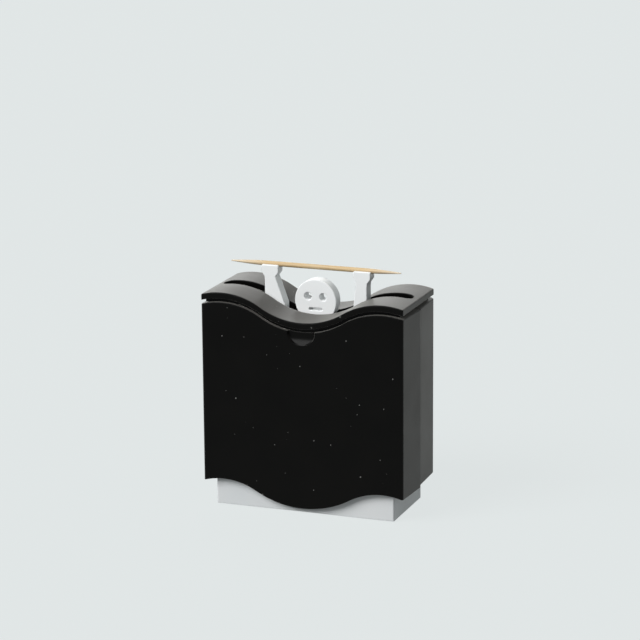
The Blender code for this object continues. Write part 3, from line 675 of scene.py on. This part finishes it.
def hood_shell(name, side, bulge, edge_raise):
    """Half of the hood: the wall's section carried along the plan, its height following both waves."""
    outer, inward, thickness = shell_plan(side, bulge)
    share, offset, bottom, top, height, rib = shell_section()
    on_face = np.abs(outer[:, 1]) > hood_half_depth - EDGE_RADIUS
    inner_x = np.abs(outer[:, 0] + inward[:, 0] * thickness)
    by_ledge = on_face & (inner_x < hood_half * LEDGE_LENGTH_SHARE)
    by_stop = side * outer[:, 1] <= STOP_WIDTH / 2 + STEP_DRAFT / 2
    ledge_proud = np.where(by_ledge, LEDGE_PROUD, 0)
    stop_proud = np.where(by_stop, inner_x - (base_half + SLIDE_GAP), 0)
    proud = (rib == LEDGE_RIB) * ledge_proud[:, None] + (rib == STOP_RIB) * stop_proud[:, None]
    into = share * thickness[:, None] + offset + proud
    plan = outer[:, None, :] + inward[:, None, :] * into[:, :, None]
    x = plan[..., 0]
    wave_low = wave(x, HOOD_LOW_Z, BOTTOM_WAVE_RISE, BOTTOM_VALLEY_SHARE) + edge_raise
    z = bottom * wave_low + top * (lid_top(x) - hood_top_drop) + height
    y = plan[..., 1]
    if side < 0:
        y = y + np.where((share == 0) & on_face[:, None], thumb_scoop(x, z), 0)
    return made(name, [bar_surface(np.stack([x, y, z], axis=-1))])


def tongue_bars():
    """Tongues that line up the shells: an upright bar's section carried from behind the front wall past the
    seam, its outer face stepping in where it enters the rear shell."""
    wall = hood_half + REAR_SEAM_BULGE - HOOD_WALL - SEAT_GAP
    bottom = base_high.z + RIM_CLEARANCE
    path = np.array([-TONGUE_REACH, -SEAM_GAP, -SEAM_GAP + STEP_DRAFT, TONGUE_REACH]) + SEAM_Y
    outer_x = np.array([hood_half - HOOD_WALL / 2] * 2 + [wall] * 2)
    bars = []
    for hand in (-1, 1):
        corners = ((0, 0), (1, 0), (1, 1), (0, 1))
        section = [
            np.stack([
                hand * (wall - TONGUE_THICKNESS + out * (outer_x - wall + TONGUE_THICKNESS)),
                path,
                np.full(len(path), bottom + up * TONGUE_HEIGHT),
            ], axis=1)
            for out, up in corners
        ]
        bars.append(bar_surface(np.stack(section, axis=1)))
    return bars


def rounded_outline(half_x, half_y, radius, along_x, along_y):
    """Rectangle with round corners, anticlockwise from the front of its right end. Its straight stretches
    have points at the shares along_x and along_y, from -1 to 1."""
    x, y = half_x - radius, half_y - radius
    turn = np.linspace(0, math.pi / 2, CORNER_STEPS + 1)[1:-1]

    def corner(sign_x, sign_y, start):
        angles = start + turn
        return np.stack([sign_x * x + radius * np.cos(angles), sign_y * y + radius * np.sin(angles)], axis=1)

    def run(across, along):
        return np.stack(np.broadcast_arrays(across, along), axis=1).astype(float)

    stretches = (
        run(half_x, y * along_y), corner(1, 1, 0),
        run(-x * along_x, half_y), corner(-1, 1, math.pi / 2),
        run(-half_x, -y * along_y), corner(-1, -1, math.pi),
        run(x * along_x, -half_y), corner(1, -1, math.pi * 3 / 2),
    )
    return np.concatenate(stretches)


def slot_outline(reach, radius, along_x, along_y):
    """Long slot with round ends, with as many points in each stretch as the rounded outline around it. An end
    takes the outline's straight points up to the split angle either way, and its corner points beyond."""
    split = SLOT_SPLIT_ANGLE
    rest = np.linspace(split, math.pi / 2, CORNER_STEPS + 1)[1:-1]

    def arc(hand, angles):
        return np.stack([hand * (reach + radius * np.cos(angles)), hand * radius * np.sin(angles)], axis=1)

    def run(hand):
        return np.stack([-hand * reach * along_x, np.full(len(along_x), hand * radius)], axis=1)

    halves = [
        (arc(hand, split * along_y), arc(hand, rest), run(hand), arc(-hand, -rest[::-1])) for hand in (1, -1)
    ]
    return np.concatenate([stretch for half in halves for stretch in half])


def lid_surface():
    """Wavy plate with a slot, a set-back shoulder and a rim. Its section runs from the slot over the top,
    round the edge, down the shoulder and the rim and back under the plate, and goes all the way round the
    slot. Every point hangs a set drop below the top wave at its own x."""
    along_x = spread((-1, 1, LID_PLACES))
    along_y = spread((-1, 1, STRAIGHT_PLACES))
    slot_radius = SLOT_WIDTH / 2
    slot_reach = hood_half - SLOT_END_MARGIN - slot_radius

    def outline(inset):
        radius = max(LID_CORNER_RADIUS - inset, EDGE_RADIUS)
        return rounded_outline(hood_half - inset, hood_half_depth - inset, radius, along_x, along_y)

    def slot(widening):
        return slot_outline(slot_reach, slot_radius + widening, along_x, along_y)

    rows = []

    def add(plan, drop):
        rows.append(np.column_stack([plan, lid_top(plan[:, 0]) - drop]))

    for share in LID_CROSS_SHARES:
        add(slot(SLOT_EDGE) * (1 - share) + outline(LID_EDGE) * share, 0)
    for inset, drop in quarter_points(LID_EDGE)[1:]:
        add(outline(inset), drop)
    for inset, drop in quarter_points(LID_LOWER_EDGE)[::-1]:
        add(outline(inset), LID_THICKNESS - drop)
    shoulder_drop = hood_top_drop - SEAT_GAP
    rim_drop = hood_top_drop + LID_RIM_DEPTH
    rim_inset = HOOD_WALL + SEAT_GAP
    rim_inner = rim_inset + LID_RIM_WALL
    add(outline(SHADOW_INSET), LID_THICKNESS)
    add(outline(SHADOW_INSET), shoulder_drop)
    add(outline(rim_inset), shoulder_drop)
    add(outline(rim_inset), rim_drop)
    add(outline(rim_inner), rim_drop)
    for share in LID_CROSS_SHARES:
        add(outline(rim_inner) * (1 - share) + slot(SLOT_EDGE) * share, LID_THICKNESS)
    for widening, drop in quarter_points(SLOT_EDGE)[1:]:
        add(slot(widening), LID_THICKNESS - drop)
    for widening, drop in quarter_points(SLOT_EDGE)[::-1][:-1]:
        add(slot(widening), drop)
    return ring_surface(np.stack(rows))


# Base, lifter and toothpick


def base_walls():
    """Base box as a wall's section carried round a rounded rectangle, with rails and stops standing out of
    its ends where their rows and columns cross."""
    half_y = base_half_depth - BASE_CORNER_RADIUS
    steps = [SEAM_Y - STOP_WIDTH / 2, SEAM_Y + STOP_WIDTH / 2]
    steps += [side * (rail_y + hand * RAIL_WIDTH / 2) for side in (-1, 1) for hand in (-1, 1)]
    places = [(step - STEP_DRAFT / 2, step + STEP_DRAFT / 2, 2) for step in steps]
    along_y = spread((-half_y, half_y, BASE_END_PLACES), *places) / half_y
    along_x = spread((-1, 1, STRAIGHT_PLACES))
    proud = hood_inner_half - SLIDE_GAP - base_half

    rows = []

    def add(inset, height, stands_out=False):
        radius = max(BASE_CORNER_RADIUS - inset, BASE_EDGE)
        plan = rounded_outline(base_half - inset, base_half_depth - inset, radius, along_x, along_y)
        y = plan[:, 1]
        on_end = np.abs(plan[:, 0]) > base_half - BASE_EDGE / 2
        rail = np.abs(np.abs(y) - rail_y) < RAIL_WIDTH / 2
        stop = (np.abs(y - SEAM_Y) < STOP_WIDTH / 2) & (height >= base_stop_bottom - STEP_DRAFT / 4)
        out = on_end & (rail | stop) & stands_out
        plan[:, 0] += np.sign(plan[:, 0]) * proud * out
        rows.append(np.column_stack([plan, np.full(len(plan), height)]))

    eased_edge = quarter_points(BASE_EDGE)
    for inset, rise in eased_edge:
        add(inset, base_low.z + rise)
    add(0, RAIL_START_Z - STEP_DRAFT)
    add(0, RAIL_START_Z, True)
    add(0, base_stop_bottom - STEP_DRAFT, True)
    add(0, base_stop_bottom, True)
    add(0, base_stop_top, True)
    add(0, base_stop_top + STEP_DRAFT)
    for inset, fall in eased_edge[::-1]:
        add(inset, base_high.z - fall)
    for inset, fall in eased_edge:
        add(BASE_WALL - inset, base_high.z - fall)
    for inset, rise in eased_edge[::-1]:
        add(BASE_WALL - inset, base_low.z + rise)
    return ring_surface(np.stack(rows))


def screw_bosses():
    """Round bosses in the corners of the base box, each with a blind hole from below."""
    bottom = plate_top_z + SEAT_GAP
    profile = [
        (0, HOLE_TOP_Z),
        (HOLE_RADIUS, HOLE_TOP_Z),
        (HOLE_RADIUS, bottom),
        (BOSS_RADIUS, bottom),
        (BOSS_RADIUS, bottom + BOSS_HEIGHT),
        (0, bottom + BOSS_HEIGHT),
    ]
    x = base_inner_half - BOSS_INSET
    y = base_inner_half_depth - BOSS_INSET
    return [
        turned_surface(profile, (hand * x, side * y), HOLE_SIDES) for hand in (-1, 1) for side in (-1, 1)
    ]


def arc_points(x, z, radius, start, end, steps):
    """Points of an arc in the figure's plane, with its angles in degrees."""
    angles = np.radians(np.linspace(start, end, steps + 1))
    return np.stack([x + radius * np.cos(angles), z + radius * np.sin(angles)], axis=1)


def arm_outline(flare_share):
    """One raised arm, from the foot up its outer edge, round the fist and down its inner edge."""
    half = figure_high.x
    fist_top = figure_high.z
    fist_centre = half - FIST_WIDTH / 2
    arm_outer = half - ARM_INSET
    wrist = fist_top - FIST_HEIGHT
    knuckle = wrist + FIST_TAPER
    head_z = fist_top - HEAD_DROP
    inner = half - FIST_WIDTH
    elbow_x = HEAD_RADIUS + (fist_centre - WRIST_WIDTH / 2 - HEAD_RADIUS) * (1 - flare_share)
    valley = head_z - HEAD_RADIUS - NECK_LENGTH
    stretches = [
        [(arm_outer, figure_low.z), (arm_outer, wrist - FIST_TAPER)],
        [(fist_centre + WRIST_WIDTH / 2, wrist), (half, knuckle)],
        arc_points(half - FIST_ROUND, fist_top - FIST_ROUND, FIST_ROUND, 0, 90, EDGE_STEPS),
        arc_points(inner + FIST_ROUND, fist_top - FIST_ROUND, FIST_ROUND, 90, 180, EDGE_STEPS),
        [(inner, knuckle), (fist_centre - WRIST_WIDTH / 2, wrist)],
        [(elbow_x, wrist - ARM_LENGTH), (elbow_x, valley)],
    ]
    return np.concatenate(stretches)


def figure_outlines():
    """Outer outline of the lifter, anticlockwise, and its holes, clockwise."""
    head_z = figure_high.z - HEAD_DROP
    neck = NECK_WIDTH / 2
    neck_angle = math.degrees(math.acos(neck / HEAD_RADIUS))
    valley = [(neck, head_z - HEAD_RADIUS - NECK_LENGTH)]
    head = arc_points(0, head_z, HEAD_RADIUS, -neck_angle, 180 + neck_angle, HEAD_STEPS)
    right = np.concatenate([arm_outline(RIGHT_ARM_FLARE_SHARE), valley])
    left = np.concatenate([arm_outline(LEFT_ARM_FLARE_SHARE), valley])[::-1] * (-1, 1)
    eyes = [
        arc_points(hand * EYE_SPREAD / 2, head_z + EYE_RAISE, EYE_RADIUS, 360, 0, EYE_STEPS)[:-1]
        for hand in (-1, 1)
    ]
    end = MOUTH_HEIGHT / 2
    reach = MOUTH_WIDTH / 2 - end
    mouth = np.concatenate([
        arc_points(reach, head_z - MOUTH_DROP, end, 90, -90, MOUTH_STEPS),
        arc_points(-reach, head_z - MOUTH_DROP, end, 270, 90, MOUTH_STEPS),
    ])
    return [np.concatenate([right, head, left]), *eyes, mouth]


def cut_sheet(outlines, thickness, edge):
    """Plate cut from a sheet with eased edges. Round each outline runs a grid whose rows draw in by a
    quarter round at the front and back face, along the outline's own normals. Both faces are filled with
    triangles."""
    inset, from_face = quarter(edge)
    rows = np.concatenate([inset, inset[::-1]])
    depth = np.concatenate([from_face - thickness / 2, thickness / 2 - from_face[::-1]])
    points, faces, front_ring, back_ring = [], [], [], []
    first = 0
    for outline in outlines:
        step = np.roll(outline, -1, axis=0) - outline
        normal = np.stack([step[:, 1], -step[:, 0]], axis=1) / np.linalg.norm(step, axis=1)[:, None]
        before = np.roll(normal, 1, axis=0)
        mitre = (normal + before) / (1 + np.einsum("ij,ij->i", normal, before))[:, None]
        plan = outline[None] - mitre[None] * rows[:, None, None]
        y = np.broadcast_to(depth[:, None], plan.shape[:2])
        points.append(np.stack([plan[..., 0], y, plan[..., 1]], axis=-1).reshape(-1, 3))
        count = len(outline)
        faces.append(first + grid_faces(len(rows), count))
        front_ring.append(first + np.arange(count))
        back_ring.append(first + (len(rows) - 1) * count + np.arange(count))
        first += len(rows) * count
    points = np.concatenate(points)
    front = np.concatenate(front_ring)
    back = np.concatenate(back_ring)
    loops = [[Vector((x, z, 0)) for x, z in points[ring][:, (0, 2)]] for ring in front_ring]
    triangles = np.array(tessellate_polygon(loops))
    a, b, c = (points[front[triangles[:, i]]][:, (0, 2)] for i in range(3))
    area = (b[:, 0] - a[:, 0]) * (c[:, 1] - a[:, 1]) - (b[:, 1] - a[:, 1]) * (c[:, 0] - a[:, 0])
    triangles = np.where((area > 0)[:, None], triangles[:, ::-1], triangles)
    return facing_out(points, *faces, front[triangles], back[triangles[:, ::-1]])


def cut_by(body, operation, tools):
    """Body with tools joined to it or cut from it for good. The tools are removed."""
    for tool in tools:
        step = body.modifiers.new(tool.name, "BOOLEAN")
        step.operation = operation
        step.solver = "EXACT"
        step.object = tool
    bpy.context.view_layer.update()
    graph = bpy.context.evaluated_depsgraph_get()
    mesh = bpy.data.meshes.new_from_object(body.evaluated_get(graph))
    body.modifiers.clear()
    body.data = mesh
    for tool in tools:
        bpy.data.objects.remove(tool)
    return body


def lifter():
    """Flat figure with raised arms, joined to its foot, with a groove over the fists and two screw holes.
    The shading of its front and back face stays flat."""
    figure = made("lifter_figure", [cut_sheet(figure_outlines(), FIGURE_THICKNESS, FIGURE_EDGE)])
    foot_half = figure_high.x - ARM_INSET - FOOT_INSET
    section = rounded_outline(foot_half, figure_high.y, EDGE_RADIUS, np.array([-1, 1]), np.array([-1, 1]))
    heights = (figure_low.z, figure_low.z + FOOT_HEIGHT)
    foot = np.stack([np.column_stack([section, np.full(len(section), z)]) for z in heights])
    cut_by(figure, "UNION", [made("foot", [bar_surface(foot)])])

    pick_z = (pick_low.z + pick_high.z) / 2
    groove_radius = (pick_high.z - pick_low.z) / 2 + SEAT_GAP
    angles = ring_angles(ROUND_SIDES)
    ends = np.array([-1, 1]) * (figure_high.x + EDGE_RADIUS)
    groove = np.stack([
        np.column_stack([
            np.full(ROUND_SIDES, end),
            groove_radius * np.cos(angles),
            pick_z + groove_radius * np.sin(angles),
        ])
        for end in ends
    ])
    tools = [made("groove", [bar_surface(groove)])]
    screw_x = figure_high.x - ARM_INSET - FIGURE_SCREW_INSET
    for hand in (-1, 1):
        profile = [
            (0, figure_low.z - SEAT_GAP), (HOLE_RADIUS, figure_low.z - SEAT_GAP),
            (HOLE_RADIUS, HOLE_TOP_Z), (0, HOLE_TOP_Z),
        ]
        tools.append(made("screw_hole", [turned_surface(profile, (hand * screw_x, 0), HOLE_SIDES)]))
    cut_by(figure, "DIFFERENCE", tools)
    normals = np.zeros(len(figure.data.polygons) * 3)
    figure.data.polygons.foreach_get("normal", normals)
    smooth = np.abs(normals.reshape(-1, 3)[:, 1]) < FLAT_NORMAL
    figure.data.set_sharp_from_angle(angle=SMOOTH_ANGLE)
    figure.data.polygons.foreach_set("use_smooth", smooth)
    return figure


def toothpick_surface():
    """Round toothpick: rings along X whose radius grows from each point as the sine of the way along the
    taper, and whose centre wanders a hair to either side as turned wood does."""
    middle = (pick_low + pick_high) / 2
    half = (pick_high.x - pick_low.x) / 2
    full = (pick_high.z - pick_low.z) / 2
    from_end = spread((0, PICK_TAPER, POINT_PLACES), (PICK_TAPER, half, PICK_PLACES))
    tip = np.clip(from_end / PICK_TAPER, 0, 1)
    radius = PICK_POINT_RADIUS + (full - PICK_POINT_RADIUS) * np.sin(tip * math.pi / 2)
    x = np.concatenate([from_end - half, (half - from_end)[::-1][1:]])
    radius = np.concatenate([radius, radius[::-1][1:]])
    angles = ring_angles(PICK_SIDES)
    slack = full - radius
    sway = np.minimum(slack, PICK_WANDER) * np.sin(x / half * PICK_WANDER_PHASE)
    rings = np.stack([
        np.broadcast_to(x[:, None] + middle.x, (len(x), PICK_SIDES)),
        radius[:, None] * np.cos(angles) + sway[:, None],
        middle.z + radius[:, None] * np.sin(angles),
    ], axis=-1)
    return pole_surface(rings, (pick_low.x, sway[0], middle.z), (pick_high.x, sway[-1], middle.z))


# Screws, pads and springs


def drive_recess(x, y):
    """Depth of the cross recess: full within either bar of the cross, easing off over a narrow band."""

    def inside(distance, reach):
        return eased(np.clip((reach + DRIVE_EASE / 2 - np.abs(distance)) / DRIVE_EASE, 0, 1))

    bars = [
        inside(lengthwise, DRIVE_REACH) * inside(crosswise, DRIVE_WIDTH)
        for lengthwise, crosswise in ((x, y), (y, x))
    ]
    return DRIVE_DEPTH * np.maximum(*bars)


def screw_surface(node):
    """Pan-head screw pointing up: a polar grid over the head, where the recess lifts the face, then the
    round edge, the neck and a shank whose radius dips with a triangle wave of height and angle, up to its
    point."""
    low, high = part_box(node)
    x = (low.x + high.x) / 2
    y = (low.y + high.y) / 2
    head = (high.x - low.x) / 2
    angles = ring_angles(ROUND_SIDES)
    face = np.linspace(0, head - SCREW_HEAD_EDGE, SCREW_FACE_PLACES)[1:]
    inset, rise = quarter(SCREW_HEAD_EDGE)
    shank = np.arange(low.z + SCREW_HEAD_HEIGHT, high.z - SCREW_TIP, THREAD_PITCH / THREAD_STEPS)
    tip = np.linspace(0, 1, SCREW_TIP_PLACES)[1:-1]
    radius = np.concatenate([
        face, head - inset[1:], [head, SCREW_RADIUS], np.full(len(shank) - 1, SCREW_RADIUS),
        SCREW_RADIUS * (1 - tip),
    ])
    z = np.concatenate([
        np.full(len(face), low.z), low.z + rise[1:], [low.z + SCREW_HEAD_HEIGHT] * 2, shank[1:],
        high.z - SCREW_TIP * (1 - tip),
    ])
    turns = (z[:, None] - low.z) / THREAD_PITCH - angles / math.tau
    groove = 2 * np.abs(turns % 1 - 0.5)
    threaded = (z > low.z + SCREW_HEAD_HEIGHT)[:, None] & (radius > THREAD_DEPTH)[:, None]
    fade = (radius / SCREW_RADIUS).clip(0, 1)[:, None]
    radii = radius[:, None] - np.where(threaded, THREAD_DEPTH * groove, 0) * fade
    across = radii * np.cos(angles)
    along = radii * np.sin(angles)
    on_face = (np.arange(len(z)) < len(face))[:, None]
    height = z[:, None] + np.where(on_face, drive_recess(across, along), 0)
    rings = np.stack([across + x, along + y, height], axis=-1)
    return pole_surface(rings, (x, y, low.z + DRIVE_DEPTH), (x, y, high.z))


def pad_surface(node):
    """Rubber disc whose lower edge is round and whose underside is dished in a little."""
    low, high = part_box(node)
    middle = ((low.x + high.x) / 2, (low.y + high.y) / 2)
    radius = (high.x - low.x) / 2
    inset, rise = quarter(PAD_EDGE)
    edge = list(zip(radius - inset, low.z + rise))
    dish = [(radius * share, low.z + PAD_DISH_DEPTH) for share in (0, *PAD_DISH_SHARES)]
    dish.append((radius * PAD_DISH_EDGE_SHARE, low.z))
    profile = dish + edge + [(radius, high.z), (0, high.z)]
    return turned_surface(profile, middle)


def spring_surface(node):
    """Compression spring: a round section carried along a helix whose height rises slowly over the first and
    last turn and evenly between them."""
    low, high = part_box(node)
    x = (low.x + high.x) / 2
    coil = (high.x - low.x - SPRING_WIRE) / 2
    bottom = plate_top_z + SEAT_GAP + SPRING_WIRE / 2
    height = high.z - low.z - SPRING_WIRE
    turn = np.linspace(0, SPRING_TURNS, SPRING_TURNS * COIL_STEPS + 1)
    pitch = (height - 2 * SPRING_END_PITCH) / (SPRING_TURNS - 2)
    closed = np.minimum(turn, 1) + np.maximum(turn - SPRING_TURNS + 1, 0)
    rise = closed * SPRING_END_PITCH + np.clip(turn - 1, 0, SPRING_TURNS - 2) * pitch
    angle = turn * math.tau
    centre = np.stack([coil * np.cos(angle) + x, coil * np.sin(angle), rise + bottom], axis=1)
    outward = np.stack([np.cos(angle), np.sin(angle), np.zeros(len(angle))], axis=1)
    tangent = np.gradient(centre, axis=0)
    tangent /= np.linalg.norm(tangent, axis=1)[:, None]
    upward = np.cross(tangent, outward)
    around = ring_angles(WIRE_SIDES)
    section = outward[:, None] * np.cos(around)[:, None] + upward[:, None] * np.sin(around)[:, None]
    rings = centre[:, None] + section * (SPRING_WIRE / 2)
    return pole_surface(rings, centre[0], centre[-1])


fitted(made("lid_moulding", [lid_surface()]), "lid", "black_plastic", BLACK, "lid")
front = hood_shell("front_shell_moulding", -1, FRONT_SEAM_BULGE, 0)
fitted(front, "hood", "black_plastic", BLACK, "front_shell")
tongues = made("seam_tongues", tongue_bars())
fitted(tongues, "hood", "black_plastic", BLACK, "front_shell")
rear = hood_shell("rear_shell_moulding", 1, REAR_SEAM_BULGE, REAR_EDGE_RAISE)
fitted(rear, "hood", "black_plastic", BLACK, "rear_shell")
box = made("base_box_moulding", [base_walls(), *screw_bosses()])
# The base box takes the greyer white with painted shade from under the hood
fitted(box, "base", "white_plastic", BASE_WHITE_PAINTED_SHADE, "base_box")
fitted(lifter(), "base", "white_plastic", LIFTER_WHITE, "figure")
fitted(made("turned_toothpick", [toothpick_surface()]), "toothpick", "toothpick_wood", WOOD, "toothpick")
for number in range(1, 5):
    screw = "base_screw_%d" % number
    fitted(made(screw + "_threaded", [screw_surface(screw)]), "base", "screw_steel", SCREW_STEEL, screw)
for word in ("left", "right"):
    screw = "figure_screw_" + word
    fitted(made(screw + "_threaded", [screw_surface(screw)]), "base", "screw_steel", SCREW_STEEL, screw)
    for end in ("front_", "rear_"):
        pad = "foot_pad_" + end + word
        fitted(made(pad + "_moulded", [pad_surface(pad)]), "base", "pad_rubber", RUBBER, pad)
    node = "return_spring_" + word
    spring = made(node + "_wire", [spring_surface(node)])
    spring.data.materials.append(SPRING_STEEL)
    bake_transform(spring)
    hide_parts(node)

for node, finish in (
    ("hopper", BLACK),
    # The bottom plate takes the same greyer white with painted shade
    ("bottom_plate", BASE_WHITE_PAINTED_SHADE),
    ("guide_pin_left", PIN_STEEL),
    ("guide_pin_right", PIN_STEEL),
):
    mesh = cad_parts[node].data
    mesh.materials.clear()
    mesh.materials.append(finish)


# Floor, light and camera


def seen_share(tree):
    """1 for what the camera, gloss or glass looks at and 0 for plain lighting."""
    path = tree.nodes.new("ShaderNodeLightPath")
    seen = path.outputs["Is Camera Ray"]
    for kind in ("Is Glossy Ray", "Is Transmission Ray"):
        either = tree.nodes.new("ShaderNodeMath")
        either.operation = "MAXIMUM"
        tree.links.new(seen, either.inputs[0])
        tree.links.new(path.outputs[kind], either.inputs[1])
        seen = either.outputs["Value"]
    return seen


def add_floor():
    """Plain pale floor, which keeps part of the object's shadow and sends back only a little light."""
    mesh = bpy.data.meshes.new("floor")
    signs = ((-1, -1), (1, -1), (1, 1), (-1, 1))
    corners = [(across * FLOOR_REACH, along * FLOOR_REACH, 0) for across, along in signs]
    mesh.from_pydata(corners, [], [range(4)])
    floor = bpy.data.objects.new("floor", mesh)
    bpy.context.scene.collection.objects.link(floor)
    paint = Finish("pale_floor", Base_Color=FLOOR_COLOUR, Roughness=1.0, Specular_IOR_Level=0.0)
    glow = paint.add("ShaderNodeEmission", Color=BACKDROP_COLOUR, Strength=FLOOR_GLOW)
    seen = seen_share(paint.tree)
    share = paint.add("ShaderNodeMath", {"operation": "MULTIPLY"}, n0=seen, n1=FLOOR_GLOW_SHARE)
    mix = paint.add(
        "ShaderNodeMixShader",
        n0=share.outputs["Value"], n1=paint.shader.outputs["BSDF"], n2=glow.outputs["Emission"],
    )
    output = paint.tree.nodes["Material Output"]
    paint.tree.links.new(mix.outputs["Shader"], output.inputs["Surface"])
    mesh.materials.append(paint.material)


def add_world():
    """Soft light from all round, and a pale surround for what the camera, gloss and glass look at."""
    world = bpy.data.worlds.new("studio")
    bpy.context.scene.world = world
    world.use_nodes = True
    tree = world.node_tree
    background = tree.nodes["Background"]
    strength = tree.nodes.new("ShaderNodeMapRange")
    strength.inputs["To Min"].default_value = AMBIENT
    strength.inputs["To Max"].default_value = 1.0
    tree.links.new(seen_share(tree), strength.inputs["Value"])
    background.inputs["Color"].default_value = BACKDROP_COLOUR
    tree.links.new(strength.outputs["Result"], background.inputs["Strength"])


def add_sun(name, azimuth, elevation, strength, softness):
    """Distant lamp that shines from an azimuth, counted from the front to the right, and an elevation."""
    lamp = bpy.data.lights.new(name, "SUN")
    lamp.energy = strength
    lamp.angle = math.radians(softness)
    sun = bpy.data.objects.new(name, lamp)
    bpy.context.scene.collection.objects.link(sun)
    turn = math.radians(azimuth)
    lift = math.radians(elevation)
    level = math.cos(lift)
    towards = Vector((math.sin(turn) * level, -math.cos(turn) * level, math.sin(lift)))
    sun.rotation_mode = "QUATERNION"
    sun.rotation_quaternion = towards.to_track_quat("Z", "Y")


def add_camera():
    """Camera at the picture's viewing angle, looking at its target and rolled a little."""
    lens = bpy.data.cameras.new("picture_camera")
    lens.lens = LENS_MM
    lens.clip_start = CLIP_START
    lens.clip_end = CLIP_END
    camera = bpy.data.objects.new("picture_camera", lens)
    bpy.context.scene.collection.objects.link(camera)
    back = (Vector(CAMERA_PLACE) - Vector(CAMERA_TARGET)).normalized()
    level_right = Vector((0, 0, 1)).cross(back).normalized()
    roll = math.radians(CAMERA_ROLL)
    right = level_right * math.cos(roll) + back.cross(level_right) * math.sin(roll)
    turn = Matrix((right, back.cross(right), back)).transposed()
    camera.matrix_world = Matrix.Translation(CAMERA_PLACE) @ turn.to_4x4()
    bpy.context.scene.camera = camera


add_floor()
add_world()
add_sun("key", **KEY_SUN)
add_sun("back_left", **BACK_SUN)
add_camera()
bpy.context.scene.view_settings.view_transform = "Standard"
